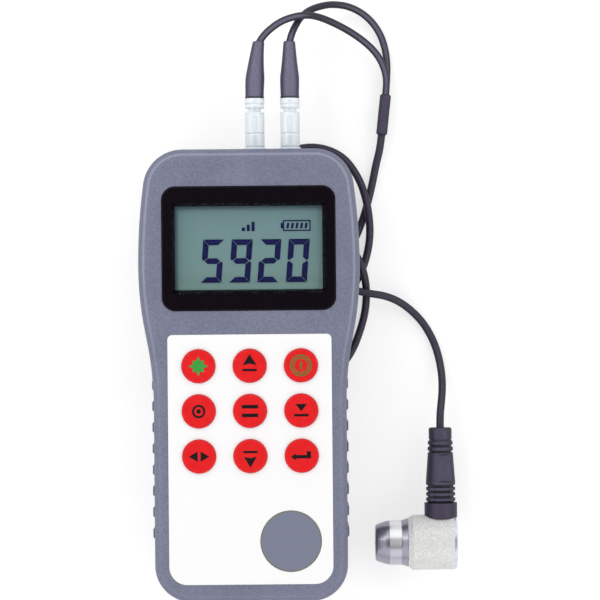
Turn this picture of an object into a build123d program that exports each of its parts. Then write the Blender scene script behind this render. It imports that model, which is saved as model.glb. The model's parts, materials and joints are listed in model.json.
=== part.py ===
from build123d import *
import math
import os

# Handheld ultrasonic thickness gauge with a twin lead and a right angle contact probe.
# Millimetres. +Z is up out of the key face and +Y runs towards the sockets.
# The gauge lies on its back, and the origin is the middle of the flat that it rests on.

# Case, seen from the front
case_length = 149.0
head_width = 73.0
handle_width = 63.5
foot_radius = 12.0
crown_radius = 13.0
brow_radius = 200.0
widest_below_top = 38.5
waist_above_foot = 64.5

# Case, seen from the side
case_depth = 32.0
seam_height = 19.0
wall = 2.2
front_edge = 4.2
back_edge = 4.0
rest_length = 58.0
head_relief = 6.8
ramp_length = 6.0
ramp_bend = 5.0
seam_bevel = 0.35

# Finger pads moulded on the flanks of the handle
pad_count = 8
pad_pitch = 6.97
pad_length = 3.6
pad_proud = 0.55
pad_bottom = 7.0
pad_below_face = 5.0
pad_first_above_foot = 22.7

# Display
display_from_top = 32.8
bezel_width = 57.0
bezel_height = 40.8
bezel_corner = 4.4
bezel_proud = 0.4
bezel_flange = 1.6
bezel_neck = 1.6
window_width = 48.4
window_height = 27.8
window_slope = 0.9
glass_border = 1.0
glass_thickness = 1.0
lcd_width = 53.0
lcd_height = 33.0
lcd_thickness = 2.6
lcd_gap = 0.1
segment_height = 0.15
digit_height = 14.2
digit_width = 6.8
digit_pitch = 9.37
digit_stroke = 1.4
digit_slant = 4.5
digit_row_below_centre = 4.1
first_digit_x = -12.0
symbol_x = 10.7
symbol_above_centre = 7.4
symbol_width = 9.4
symbol_height = 3.6
symbol_line = 0.35
symbol_bars = 5

# Fascia and keys
fascia_width = 53.8
fascia_thickness = 0.3
fascia_from_foot = 6.0
fascia_to_bezel = 7.8
fascia_foot_corner = 6.0
fascia_top_corner = 1.6
key_diameter = 11.4
key_pitch_x = 16.8
key_pitch_y = 14.8
key_top_row_below_fascia_top = 10.3
key_proud = 0.9
key_travel = 0.5
key_crown = 0.35
key_edge = 0.45
key_flange_width = 0.9
key_flange_thickness = 1.2
key_stem_diameter = 3.6
key_gap = 0.2

# Zero disc
disc_diameter = 20.0
disc_thickness = 3.0
disc_proud = 0.2
disc_x = 13.1
disc_from_foot = 20.1
disc_rim = 0.5
disc_cup_wall = 1.8
disc_cup_floor = 1.2

# Board
board_below_face = 6.7
board_thickness = 1.6
board_width = 54.0
board_foot_gap = 14.0
board_crown_gap = 15.0
board_post_inset = 4.4
low_posts_above_board_foot = 23.0
high_posts_above_fascia = 3.0
switch_size = 6.0
switch_height = 3.4
plunger_diameter = 3.2
plunger_height = 0.6
post_radius = 2.4
board_screw_shank = 1.9
board_screw_head = 3.8
board_screw_head_height = 1.3
board_screw_length = 5.0
chip_size = 10.0
chip_height = 1.4
chips_below_crown = 30.0
chip_pitch_x = 18.0
chip_pitch_y = 22.0
sounder_inset = 11.0
sounder_below_crown = 62.0
sounder_diameter = 9.0
sounder_height = 2.6

# Case screws
screw_boss = 3.5
screw_shank = 2.4
screw_head = 4.8
screw_head_height = 1.8
screw_from_crown = 8.6
screw_from_foot = 9.2
crown_screw_x = 26.5
foot_screw_x = 24.2
screw_clearance = 0.2

# Battery bay
cell_diameter = 14.2
cell_length = 49.2
nub_diameter = 5.5
nub_length = 1.3
cell_gap = 0.8
cell_roof_gap = 0.4
bay_end_space = 6.5
bay_wall = 1.3
bay_from_foot = 3.6
door_width = 37.0
door_thickness = 2.0
door_tongue = 1.4
door_tongue_thickness = 0.9
door_end_gap = 4.0
door_clearance = 0.15
cell_to_door = 0.3
contact_thickness = 0.4
contact_size = 9.0
grip_count = 5
grip_pitch = 2.2
grip_depth = 0.5
grip_length = 18.0

# Sockets and plugs
socket_left_x = 2.2
socket_right_x = 13.9
socket_flange_diameter = 7.2
socket_flange_thickness = 0.9
socket_body_diameter = 6.0
socket_inside = 8.0
socket_nut_across_flats = 8.0
socket_nut_thickness = 1.6
nose_diameter = 4.1
nose_length = 7.2
nose_clearance = 0.05
socket_clearance = 0.05
pin_diameter = 0.9
pin_length = 3.0
shell_diameter = 6.4
shell_length = 11.6
release_travel = 1.2
shell_clearance = 0.08
shell_start_gap = 0.1
ring_diameter = 6.5
ring_length = 3.3
boot_length = 19.0
boot_base_diameter = 6.6
boot_belly_diameter = 6.8
boot_tip_diameter = 4.4
boot_left_lean = 1.5

# Leads
branch_diameter = 2.5
lead_diameter = 2.8
sleeve_width = 3.7
sleeve_height = 5.9
sleeve_length = 13.6
sleeve_lean = 6.3
coil_height = 5.6
coil_band = 3.2

# Probe
probe_x = 41.3
probe_y = -15.7
probe_body_diameter = 18.4
probe_body_length = 15.3
probe_body_chamfer = 1.6
probe_wall = 2.4
probe_cap_length = 1.0
probe_nose_diameter = 15.0
probe_nose_length = 11.0
probe_cone_length = 4.6
probe_face_diameter = 12.0
probe_bore_diameter = 9.6
barrier_thickness = 0.6
delay_length = 9.0
crystal_thickness = 0.6
backing_length = 6.0
probe_boot_x = 63.4
probe_gland_diameter = 11.0
probe_gland_length = 5.0
probe_gland_seat = 0.9
probe_gland_collar = 2.2
probe_gland_across_flats = 10.8
probe_boot_length = 25.2
probe_boot_tip_diameter = 7.9

# Values worked out from the sizes above
foot_y = -(rest_length / 2 + back_edge)
crown_y = foot_y + case_length
widest_y = crown_y - widest_below_top
waist_y = foot_y + waist_above_foot
half_handle = handle_width / 2
half_head = head_width / 2
display_y = crown_y - display_from_top
fascia_foot = foot_y + fascia_from_foot
fascia_top = display_y - bezel_height / 2 - fascia_to_bezel
fascia_height = fascia_top - fascia_foot
fascia_y = (fascia_foot + fascia_top) / 2
pad_top = case_depth - pad_below_face
face_inside = case_depth - wall
board_top = face_inside - board_below_face
board_bottom = board_top - board_thickness
disc_y = foot_y + disc_from_foot
plug_z = seam_height
bay_y0 = foot_y + bay_from_foot
bay_y1 = bay_y0 + cell_length + nub_length + bay_end_space
cell_z = door_thickness + cell_to_door + cell_diameter / 2
bay_half = cell_diameter + cell_gap
bay_top = cell_z + cell_diameter / 2 + cell_roof_gap
cell_x = (cell_diameter + cell_gap) / 2
socket_face_y = crown_y + socket_flange_thickness
probe_z = probe_body_diameter / 2
probe_boot_foot = probe_y + probe_z - probe_gland_seat + probe_gland_length
probe_boot_end = probe_boot_foot + probe_boot_length


def box(x0, x1, y0, y1, z0, z1):
    """A box between two corners."""
    middle = ((x0 + x1) / 2, (y0 + y1) / 2, (z0 + z1) / 2)
    return Pos(*middle) * Box(abs(x1 - x0), abs(y1 - y0), abs(z1 - z0))


def rod(x, y, z0, z1, diameter):
    """A round post standing along Z."""
    return Pos(x, y, (z0 + z1) / 2) * Cylinder(diameter / 2, z1 - z0)


def rod_y(x, z, y0, y1, diameter):
    """A round bar lying along Y."""
    return Pos(x, (y0 + y1) / 2, z) * Rot(90, 0, 0) * Cylinder(diameter / 2, y1 - y0)


def slab(width, height, corner, x, y, z0, z1):
    """A plate with round corners, between two heights."""
    sketch = Pos(x, y, z0) * RectangleRounded(width, height, corner)
    return extrude(sketch, amount=z1 - z0)


def turned_y(points, x, z):
    """A solid turned about a line along Y, from (distance along Y, radius) points."""
    first, last = points[0][0], points[-1][0]
    outline = [(0, first)] + [(radius, along) for along, radius in points] + [(0, last)]
    face = make_face(Polyline(*outline, close=True))
    return Pos(x, 0, z) * revolve(face, Axis.Y, 360)


def turned_x(points, y, z):
    """A solid turned about a line along X, from (distance along X, radius) points."""
    first, last = points[0][0], points[-1][0]
    outline = [(first, 0)] + list(points) + [(last, 0)]
    face = make_face(Polyline(*outline, close=True))
    return Pos(0, y, z) * revolve(face, Axis.X, 360)


def case_face(inset, z):
    """The case's outline seen from the front, drawn in by a distance, at a height."""
    half_step = (half_head - half_handle) / 2
    half_rise = (widest_y - waist_y) / 2
    bend = (half_step**2 + half_rise**2) / (2 * half_step)
    sweep_angle = math.degrees(math.asin(half_rise / bend))
    crown_centre_y = crown_y - crown_radius
    reach = brow_radius - crown_radius
    brow_angle = math.degrees(math.asin((crown_centre_y - widest_y) / reach))
    brow_centre_x = half_head - brow_radius
    crown_centre_x = brow_centre_x + reach * math.cos(math.radians(brow_angle))
    foot_centre = (half_handle - foot_radius, foot_y + foot_radius)
    swell_centre_x = half_head - bend

    foot = Line((0, foot_y + inset), (foot_centre[0], foot_y + inset))
    foot_corner = CenterArc(foot_centre, foot_radius - inset, -90, 90)
    flank = Line((half_handle - inset, foot_centre[1]), (half_handle - inset, waist_y))
    flare = CenterArc((half_handle + bend, waist_y), bend + inset, 180, -sweep_angle)
    swell = CenterArc((swell_centre_x, widest_y), bend - inset, -sweep_angle, sweep_angle)
    brow = CenterArc((brow_centre_x, widest_y), brow_radius - inset, 0, brow_angle)
    crown_corner = CenterArc(
        (crown_centre_x, crown_centre_y), crown_radius - inset, brow_angle, 90 - brow_angle
    )
    crown = Line((crown_centre_x, crown_y - inset), (0, crown_y - inset))
    right = [foot, foot_corner, flank, flare, swell, brow, crown_corner, crown]
    left = [edge.mirror(Plane.YZ) for edge in right]
    return Pos(0, 0, z) * make_face(right + left)


def below_back(lift):
    """Everything under the back of the case: the rest flat, the ramp and the raised head."""
    far = 60.0
    rest_end = rest_length / 2
    ramp_end = rest_end + ramp_length
    slope = math.atan2(head_relief, ramp_length)
    shift = lift * math.tan(slope / 2)
    outline = Polyline(
        (foot_y - far, lift),
        (rest_end - shift, lift),
        (ramp_end - shift, head_relief + lift),
        (crown_y + far, head_relief + lift),
        (crown_y + far, -far),
        (foot_y - far, -far),
        close=True,
    )
    face = make_face(outline)
    bends = face.vertices().filter_by(lambda v: rest_end - far / 2 < v.X < ramp_end + far / 2)
    face = fillet(bends, ramp_bend)
    side = Plane(origin=(-far, 0, 0), x_dir=(0, 1, 0), z_dir=(1, 0, 0))
    return extrude(side * face, amount=2 * far)


def finger_pads(z0, z1):
    """The shallow pads on both flanks of the handle, between two heights."""
    pads = []
    first = foot_y + pad_first_above_foot
    outside = half_handle + pad_proud
    for row in range(pad_count):
        y = first + row * pad_pitch
        for side in (-1, 1):
            x0 = side * (half_handle - wall / 2)
            pad = box(x0, side * outside, y - pad_length / 2, y + pad_length / 2, z0, z1)
            edges = pad.edges().filter_by(Axis.Z).filter_by(lambda e: abs(e.center().X) > half_handle)
            pads.append(chamfer(edges, pad_proud * 0.9))
    return pads


def case_screw_places():
    """The four screws that hold the two shells together."""
    crown = crown_y - screw_from_crown
    foot = foot_y + screw_from_foot
    return [(-crown_screw_x, crown), (crown_screw_x, crown), (-foot_screw_x, foot), (foot_screw_x, foot)]


def board_post_places():
    """The four posts that the board is screwed to, clear of the keys, disc and display."""
    x = board_width / 2 - board_post_inset
    low = foot_y + board_foot_gap + low_posts_above_board_foot
    high = fascia_top + high_posts_above_fascia
    return [(-x, low), (x, low), (-x, high), (x, high)]


def key_places():
    """The nine keys, named by row from the top and by column from the left."""
    places = []
    top_row = fascia_top - key_top_row_below_fascia_top
    for row in range(3):
        for column in range(3):
            x = (column - 1) * key_pitch_x
            places.append((f"key_{row + 1}{column + 1}", x, top_row - row * key_pitch_y))
    return places


def back_screw_floor(y):
    """The height of the outside of the back under a case screw."""
    return head_relief if y > rest_length / 2 else 0.0


def socket_hole(x):
    """The hole in the crown wall that both shells share, with its axis on the seam."""
    hole_diameter = socket_body_diameter + 2 * socket_clearance
    return rod_y(x, plug_z, crown_y - 3 * wall, crown_y + wall, hole_diameter)


def front_shell():
    """The front moulding: dished edge, display recess, fascia recess, key holes and disc cup."""
    body = extrude(case_face(0, seam_height), amount=case_depth - seam_height)
    body = fillet(body.faces().sort_by(Axis.Z)[-1].edges(), front_edge)
    body = chamfer(body.faces().sort_by(Axis.Z)[0].edges(), seam_bevel)
    cavity = extrude(case_face(wall, seam_height), amount=face_inside - seam_height)
    cavity = fillet(cavity.faces().sort_by(Axis.Z)[-1].edges(), front_edge - wall)
    body -= cavity
    for pad in finger_pads(seam_height, pad_top):
        body += pad

    cup_top = case_depth + disc_proud
    cup_floor = cup_top - disc_thickness
    cup_diameter = disc_diameter + 2 * disc_cup_wall
    body += rod(disc_x, disc_y, cup_floor - disc_cup_floor, face_inside + wall / 2, cup_diameter)
    for x, y in board_post_places():
        body += rod(x, y, board_top, face_inside + wall / 2, 2 * post_radius)
    for x, y in case_screw_places():
        body += rod(x, y, seam_height, face_inside + wall / 2, 2 * screw_boss)
        body -= rod(x, y, seam_height - 1, seam_height + 7, screw_shank + 0.1)
    for x, y in board_post_places():
        body -= rod(x, y, board_top - 1, board_top + board_screw_length, board_screw_shank + 0.1)

    body -= rod(disc_x, disc_y, cup_floor, case_depth + 1, disc_diameter + 0.2)
    recess_floor = case_depth + bezel_proud - bezel_flange
    body -= slab(
        bezel_width + 0.2, bezel_height + 0.2, bezel_corner + 0.1, 0, display_y, recess_floor, case_depth + 1
    )
    body -= slab(*neck_size(0.2), 0, display_y, face_inside - 1, case_depth)
    body -= fascia_slab(0.1, case_depth - fascia_thickness, case_depth + 1)
    for name, x, y in key_places():
        body -= rod(x, y, face_inside - 1, case_depth, key_diameter + 2 * key_gap)
    for x in (socket_left_x, socket_right_x):
        body -= socket_hole(x)
    return body


def neck_size(gap):
    """Width, height and corner of the bezel's neck, with a gap round it."""
    width = window_width + 2 * (glass_border + 1.0) + gap
    height = window_height + 2 * (glass_border + 1.0) + gap
    return (width, height, 1.6)


def fascia_slab(gap, z0, z1):
    """The fascia's outline: small corners at the top and large ones at the foot."""
    sheet = Rectangle(fascia_width + 2 * gap, fascia_height + 2 * gap)
    corners = sheet.vertices().sort_by(Axis.Y)
    sheet = fillet(corners[:2], fascia_foot_corner + gap)
    corners = sheet.vertices().group_by(Axis.Y)[-1]
    sheet = fillet(corners, fascia_top_corner + gap)
    return extrude(Pos(0, fascia_y, z0) * sheet, amount=z1 - z0)


def rear_shell():
    """The back moulding: deep at the battery bay, raised behind the head."""
    body = extrude(case_face(0, 0), amount=seam_height) - below_back(0)
    back = body.edges().filter_by(lambda e: e.center().Z < head_relief + 0.5)
    body = fillet(back.filter_by(lambda e: not is_cross_edge(e)), back_edge)
    body = chamfer(body.faces().sort_by(Axis.Z)[-1].edges(), seam_bevel)
    cavity = extrude(case_face(wall, 0), amount=seam_height + 1) - below_back(wall)
    body -= cavity
    for pad in finger_pads(pad_bottom, seam_height):
        body += pad

    half = bay_half + bay_wall
    body += box(-half, half, bay_y0 - wall, bay_y1 + bay_wall, wall / 2, bay_top + bay_wall)
    for x, y in case_screw_places():
        floor = back_screw_floor(y)
        body += rod(x, y, floor + wall / 2, seam_height, 2 * screw_boss)
    for x, y in case_screw_places():
        floor = back_screw_floor(y)
        body -= rod(x, y, floor - 1, seam_height + 1, screw_shank + 2 * screw_clearance)
        body -= rod(x, y, floor - 1, floor + screw_seat(), screw_head + 2 * screw_clearance)
    body -= box(-bay_half, bay_half, bay_y0, bay_y1, door_thickness - 1, bay_top)
    body -= door_block(door_clearance)
    for x in (socket_left_x, socket_right_x):
        body -= socket_hole(x)
    return body


def screw_seat():
    """How far a case screw's head sits up its counterbore."""
    return 2 * screw_head_height


def is_cross_edge(edge):
    """True for a straight edge that runs across the back, from flank to flank."""
    size = edge.bounding_box().size
    return size.X > handle_width / 2 and size.Y < 0.01 and edge.center().Y > foot_y + 1


def door_end_y():
    """The door's inner end."""
    return bay_y1 - door_end_gap


def door_block(gap):
    """The door with its two side tongues, open past the foot of the case."""
    tongue_z0 = door_thickness - door_tongue_thickness
    half = door_width / 2 + gap
    reach = half + door_tongue
    top = door_thickness + gap
    end = door_end_y() + gap
    plate = box(-half, half, foot_y - 5, end, -1, top)
    tongues = box(-reach, reach, foot_y - 5, end, tongue_z0 - gap, top)
    return plate + tongues


def battery_door():
    """The sliding battery door, whose foot carries on the case's rounded edge."""
    outer = extrude(case_face(0, 0), amount=seam_height)
    back = outer.faces().sort_by(Axis.Z)[0].edges()
    outer = fillet(back, back_edge)
    door = outer & door_block(0)
    for row in range(grip_count):
        y = door_end_y() - 6.0 - row * grip_pitch
        groove = Pos(0, y, 0) * Rot(0, 90, 0) * Cylinder(grip_depth, grip_length)
        door -= groove
    return door


def battery_cells():
    """Two cells side by side, the second turned end for end."""
    cells = {}
    spring_space = bay_end_space / 2
    body = cell_length
    for name, x, turned in (("cell_left", -cell_x, False), ("cell_right", cell_x, True)):
        profile = [
            (0.0, cell_diameter / 2 - 0.8),
            (0.8, cell_diameter / 2),
            (body - 0.8, cell_diameter / 2),
            (body, cell_diameter / 2 - 0.8),
            (body, nub_diameter / 2),
            (body + nub_length, nub_diameter / 2),
        ]
        cell = turned_y(profile, 0, 0)
        start = bay_y0 + spring_space
        if turned:
            cell = Pos(0, body + nub_length, 0) * Rot(0, 0, 180) * cell
        cells[name] = Pos(x, start, cell_z) * cell
    return cells


def battery_contacts():
    """Four sprung contact plates, each a strip bent out to meet its cell."""
    plates = []
    lean = bay_end_space / 2 - 0.15
    half = contact_size / 2
    for x in (-cell_x, cell_x):
        for end, way in ((bay_y0, 1), (bay_y1, -1)):
            front = end + way * contact_thickness
            base = box(x - half, x + half, end, front, cell_z - half, cell_z + half)
            strip = Polyline(
                (end + way * contact_thickness, cell_z + half),
                (end + way * lean, cell_z),
                (end + way * contact_thickness, cell_z - half),
                (end + way * contact_thickness, cell_z - half + contact_thickness * 1.5),
                (end + way * (lean - contact_thickness * 1.6), cell_z),
                (end + way * contact_thickness, cell_z + half - contact_thickness * 1.5),
                close=True,
            )
            side = Plane(origin=(x - half / 2, 0, 0), x_dir=(0, 1, 0), z_dir=(1, 0, 0))
            plates.append(base + extrude(side * make_face(strip), amount=half))
    return plates


def keycap(x, y):
    """A key: domed button, captive flange behind the face and a stem over its switch."""
    top = case_depth + key_proud
    radius = key_diameter / 2
    stem_end = board_top + switch_height + plunger_height + key_travel + 0.1
    button = rod(0, 0, face_inside, top, key_diameter)
    button = chamfer(button.faces().sort_by(Axis.Z)[-1].edges(), key_crown, key_edge)
    flange_z = face_inside - key_flange_thickness
    flange = rod(0, 0, flange_z, face_inside, key_diameter + 2 * key_flange_width)
    stem = rod(0, 0, stem_end, flange_z, key_stem_diameter)
    dish = Pos(0, 0, top + 8 * radius - 0.15) * Sphere(8 * radius)
    return Pos(x, y, 0) * (button + flange + stem - dish)


def key_switches():
    """Nine push switches on the board, one under each key."""
    switches = []
    half = switch_size / 2
    body_top = board_top + switch_height
    for name, x, y in key_places():
        body = box(x - half, x + half, y - half, y + half, board_top, body_top)
        body = chamfer(body.edges().filter_by(Axis.Z), 0.6)
        switches.append(body + rod(x, y, body_top, body_top + plunger_height, plunger_diameter))
    return switches


def main_board():
    """The circuit board, drilled for its four screws."""
    y0 = foot_y + board_foot_gap
    y1 = crown_y - board_crown_gap
    board = slab(board_width, y1 - y0, 2.0, 0, (y0 + y1) / 2, board_bottom, board_top)
    for x, y in board_post_places():
        board -= rod(x, y, board_bottom - 1, board_top + 1, board_screw_shank + 0.6)
    return board


def board_parts():
    """The chips on the underside of the board, clear of the battery bay."""
    parts = []
    half = chip_size / 2
    row = crown_y - chips_below_crown
    left = -2 * chip_pitch_x / 3
    for x, y in ((left, row), (left + chip_pitch_x, row), (left + chip_pitch_x / 2, row - chip_pitch_y)):
        chip = box(x - half, x + half, y - half, y + half, board_bottom - chip_height, board_bottom)
        parts.append(chamfer(chip.edges().filter_by(Axis.Z), 0.5))
    return parts


def sounder():
    """The small round sounder on the underside of the board."""
    x = board_width / 2 - sounder_inset
    y = crown_y - sounder_below_crown
    z0 = board_bottom - sounder_height
    body = rod(x, y, z0, board_bottom, sounder_diameter)
    return body - rod(x, y, z0 - 1, z0 + 0.6, sounder_diameter / 5)


def board_screws():
    """Four screws up through the board into the front shell's posts."""
    screws = []
    for x, y in board_post_places():
        head = rod(x, y, board_bottom - board_screw_head_height, board_bottom, board_screw_head)
        head = fillet(head.faces().sort_by(Axis.Z)[0].edges(), 0.4)
        shank = rod(x, y, board_bottom, board_top + board_screw_length - 0.5, board_screw_shank)
        slot = box(x - 1.2, x + 1.2, y - 0.25, y + 0.25, board_bottom - 2, board_bottom - 0.7)
        screws.append(head + shank - slot)
    return screws


def case_screws():
    """Four screws from the back into the front shell's bosses."""
    screws = []
    for x, y in case_screw_places():
        seat = back_screw_floor(y) + screw_seat()
        head = rod(x, y, seat - screw_head_height, seat, screw_head)
        head = fillet(head.faces().sort_by(Axis.Z)[0].edges(), 0.5)
        shank = rod(x, y, seat, seam_height + 6.5, screw_shank)
        cross = box(x - 1.4, x + 1.4, y - 0.3, y + 0.3, seat - 3, seat - 0.8)
        cross += box(x - 0.3, x + 0.3, y - 1.4, y + 1.4, seat - 3, seat - 0.8)
        screws.append(head + shank - cross)
    return screws


def display_bezel():
    """The black display frame: flange in the face, sloping window opening and rear neck."""
    top = case_depth + bezel_proud
    under = top - bezel_flange
    frame = slab(bezel_width, bezel_height, bezel_corner, 0, display_y, under, top)
    frame = fillet(frame.faces().sort_by(Axis.Z)[-1].edges(), 0.5)
    frame += slab(*neck_size(0), 0, display_y, under - bezel_neck, under)
    frame -= glass_slab(0.1, under - bezel_neck - 1, under)
    spread = 2 * window_slope
    wide = Rectangle(window_width + spread, window_height + spread)
    narrow = Rectangle(window_width, window_height)
    return frame - loft([Pos(0, display_y, under) * narrow, Pos(0, display_y, top) * wide])


def glass_slab(gap, z0, z1):
    """The clear window's outline."""
    width = window_width + 2 * glass_border + gap
    height = window_height + 2 * glass_border + gap
    return slab(width, height, 0.6, 0, display_y, z0, z1)


def display_window():
    """The clear window, seated against the back of the bezel's flange."""
    under = case_depth + bezel_proud - bezel_flange
    return glass_slab(0, under - glass_thickness, under)


def lcd_top():
    """The height of the display glass, just behind the bezel's neck."""
    return case_depth + bezel_proud - bezel_flange - bezel_neck - lcd_gap


def lcd_panel():
    """The display glass: a lower plate and a slightly shorter upper plate."""
    top = lcd_top()
    middle = top - lcd_thickness / 2
    lower = slab(lcd_width, lcd_height, 0.3, 0, display_y, top - lcd_thickness, middle)
    upper = slab(lcd_width, lcd_height - 3.0, 0.3, 0, display_y + 1.5, middle, top)
    return lower + upper


def backlight():
    """The light guide block between the board and the display glass."""
    top = lcd_top() - lcd_thickness
    block = slab(lcd_width, lcd_height + 1.0, 0.8, 0, display_y, board_top, top)
    return block


def segment(length, stroke):
    """One bar of a figure: a flat hexagon lying along X."""
    half = length / 2
    tip = stroke / 2
    upper = [(-half, 0), (-half + tip, tip), (half - tip, tip), (half, 0)]
    lower = [(half - tip, -tip), (-half + tip, -tip)]
    return make_face(Polyline(*upper, *lower, close=True))


def lcd_segments():
    """Four seven-bar figures and a battery symbol, as thin raised areas."""
    on_bars = {"5": "afgcd", "9": "afgbcd", "2": "abged", "0": "abcdef"}
    half_width = digit_width / 2 - digit_stroke / 2
    quarter = (digit_height - digit_stroke) / 4
    bar = quarter * 2 - 0.3
    flat = 2 * half_width - 0.3
    places = {
        "a": (0, 2 * quarter, flat, 0),
        "g": (0, 0, flat, 0),
        "d": (0, -2 * quarter, flat, 0),
        "f": (-half_width, quarter, bar, 90),
        "b": (half_width, quarter, bar, 90),
        "e": (-half_width, -quarter, bar, 90),
        "c": (half_width, -quarter, bar, 90),
    }
    slant = math.tan(math.radians(digit_slant))
    solids = []
    base = lcd_top()
    row_y = display_y - digit_row_below_centre
    for index, figure in enumerate("5920"):
        x = first_digit_x + index * digit_pitch
        for name in on_bars[figure]:
            dx, dy, length, turn = places[name]
            tilt = turn - digit_slant if turn else 0
            place = Pos(x + dx + dy * slant, row_y + dy, base) * Rot(0, 0, tilt)
            solids.append(extrude(place * segment(length, digit_stroke), amount=segment_height))
    return solids + cell_symbol(base)


def cell_symbol(base):
    """The battery symbol over the figures: a frame with a nub, and five bars inside it."""
    y = display_y + symbol_above_centre
    x0 = symbol_x
    x1 = symbol_x + symbol_width
    half = symbol_height / 2
    top = base + segment_height
    frame = box(x0, x1, y - half, y + half, base, top)
    inside = half - symbol_line
    frame -= box(x0 + symbol_line, x1 - symbol_line, y - inside, y + inside, base - 1, top + 1)
    frame += box(x0 - 2 * symbol_line, x0, y - half / 2, y + half / 2, base, top)
    marks = [frame]
    pitch = (symbol_width - 3 * symbol_line) / symbol_bars
    for index in range(symbol_bars):
        start = x0 + 2 * symbol_line + index * pitch
        reach = half - 2 * symbol_line
        marks.append(box(start, start + pitch - symbol_line, y - reach, y + reach, base, top))
    return marks


def zero_disc():
    """The round steel plate of known thickness that the probe is zeroed on."""
    top = case_depth + disc_proud
    disc = rod(disc_x, disc_y, top - disc_thickness, top, disc_diameter)
    return chamfer(disc.faces().sort_by(Axis.Z)[-1].edges(), disc_rim / 2)


def fascia():
    """The white front label, with a hole for each key and one for the disc."""
    sheet = fascia_slab(0, case_depth - fascia_thickness, case_depth)
    for name, x, y in key_places():
        sheet -= rod(x, y, case_depth - 1, case_depth + 1, key_diameter + 2 * key_gap)
    return sheet - rod(disc_x, disc_y, case_depth - 1, case_depth + 1, disc_diameter + 0.2)


def socket(x):
    """A panel socket: front flange, body through the crown wall and a bore for the plug."""
    inner = crown_y - socket_inside
    body = rod_y(x, plug_z, inner, crown_y, socket_body_diameter)
    flange = rod_y(x, plug_z, crown_y, socket_face_y, socket_flange_diameter)
    flange = chamfer(flange.faces().sort_by(Axis.Y)[-1].edges(), 0.25)
    bore_end = socket_face_y - nose_length - 0.3
    bore = rod_y(x, plug_z, bore_end, socket_face_y + 1, nose_diameter + 2 * nose_clearance)
    core = rod_y(x, plug_z, bore_end, bore_end + pin_length - 0.2, nose_diameter - 1.5)
    pin_hole = rod_y(x, plug_z, bore_end - 1, bore_end + pin_length, pin_diameter + 0.1)
    return body + flange - bore + core - pin_hole


def socket_nuts():
    """The hexagon nuts that clamp the sockets from inside the crown wall."""
    nuts = []
    inside = crown_y - wall
    for x in (socket_left_x, socket_right_x):
        sketch = RegularPolygon(socket_nut_across_flats / 2, 6, major_radius=False)
        sketch -= Circle(socket_body_diameter / 2)
        face = Plane(origin=(x, inside, plug_z), x_dir=(1, 0, 0), z_dir=(0, -1, 0)) * sketch
        nuts.append(extrude(face, amount=socket_nut_thickness))
    return nuts


def shell_y():
    """Where a plug's release shell begins and ends."""
    start = socket_face_y + shell_start_gap
    return start, start + shell_length


def ring_y():
    """Where a plug's collet ring begins and ends."""
    start = shell_y()[1] + release_travel + 0.1
    return start, start + ring_length


def boot_y():
    """Where a plug's boot begins and ends."""
    return ring_y()[1], ring_y()[1] + boot_length


def plug_body(x):
    """A plug's inner tube, from its nose in the socket to the back of the collet ring."""
    nose = socket_face_y - nose_length
    tube = rod_y(x, plug_z, nose, ring_y()[0] + ring_length / 2, nose_diameter)
    tube = chamfer(tube.faces().sort_by(Axis.Y)[0].edges(), 0.3)
    mouth = rod_y(x, plug_z, nose - 1, nose + pin_length, nose_diameter - 1.0)
    stop = rod_y(x, plug_z, nose + pin_length, nose + pin_length + 2, pin_diameter)
    return tube - mouth - stop


def plug_pins():
    """The centre contacts, standing in the mouths of the plugs."""
    nose = socket_face_y - nose_length
    pins = []
    for x in (socket_left_x, socket_right_x):
        pin = rod_y(x, plug_z, nose + 0.4, nose + pin_length + 2, pin_diameter)
        pins.append(chamfer(pin.faces().sort_by(Axis.Y)[0].edges(), 0.2))
    return pins


def release_shell(x):
    """The outer shell that is drawn back to free a plug."""
    y0, y1 = shell_y()
    shell = rod_y(x, plug_z, y0, y1, shell_diameter)
    ends = shell.edges().filter_by(GeomType.CIRCLE)
    shell = chamfer(ends, 0.3)
    groove_y = y0 + 4.2
    ring = rod_y(x, plug_z, groove_y, groove_y + 0.35, shell_diameter + 1)
    ring -= rod_y(x, plug_z, groove_y - 1, groove_y + 1, shell_diameter - 0.3)
    bore = rod_y(x, plug_z, y0 - 1, y1 + 1, nose_diameter + 2 * shell_clearance)
    return shell - ring - bore


def collet_ring(x):
    """The ring nut behind the release gap, screwed on the plug's inner tube."""
    y0, y1 = ring_y()
    ring = rod_y(x, plug_z, y0, y1, ring_diameter)
    ring = chamfer(ring.edges().filter_by(GeomType.CIRCLE), 0.25)
    return ring - rod_y(x, plug_z, y0 - 1, y0 + ring_length / 2, nose_diameter + 0.02)


def plug_boot(x, lean):
    """The rubber boot that the lead leaves through, bent over by its lead."""
    y0 = boot_y()[0]
    stations = [
        (0.0, boot_base_diameter),
        (0.12, boot_base_diameter),
        (0.36, boot_belly_diameter),
        (0.44, boot_belly_diameter - 0.2),
        (0.62, 5.6),
        (0.82, 4.7),
        (1.0, boot_tip_diameter),
    ]
    sections = []
    for share, diameter in stations:
        middle = (x + lean * share**2, y0 + share * boot_length, plug_z)
        way = (2 * lean * share / boot_length, 1, 0)
        sections.append(Plane(origin=middle, x_dir=(0, 0, 1), z_dir=way) * Circle(diameter / 2))
    return loft(sections)


def run_lengths(points):
    """The length of each straight run of a route."""
    return [(Vector(*b) - Vector(*a)).length for a, b in zip(points, points[1:])]


def corner_radii(points):
    """The largest smooth arc that each corner's two runs allow."""
    runs = run_lengths(points)
    radii = []
    for index in range(1, len(points) - 1):
        before = Vector(*points[index]) - Vector(*points[index - 1])
        after = Vector(*points[index + 1]) - Vector(*points[index])
        half_turn = math.radians(before.get_angle(after)) / 2
        radii.append(0.45 * min(runs[index - 1], runs[index]) / math.tan(half_turn))
    return radii


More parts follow.
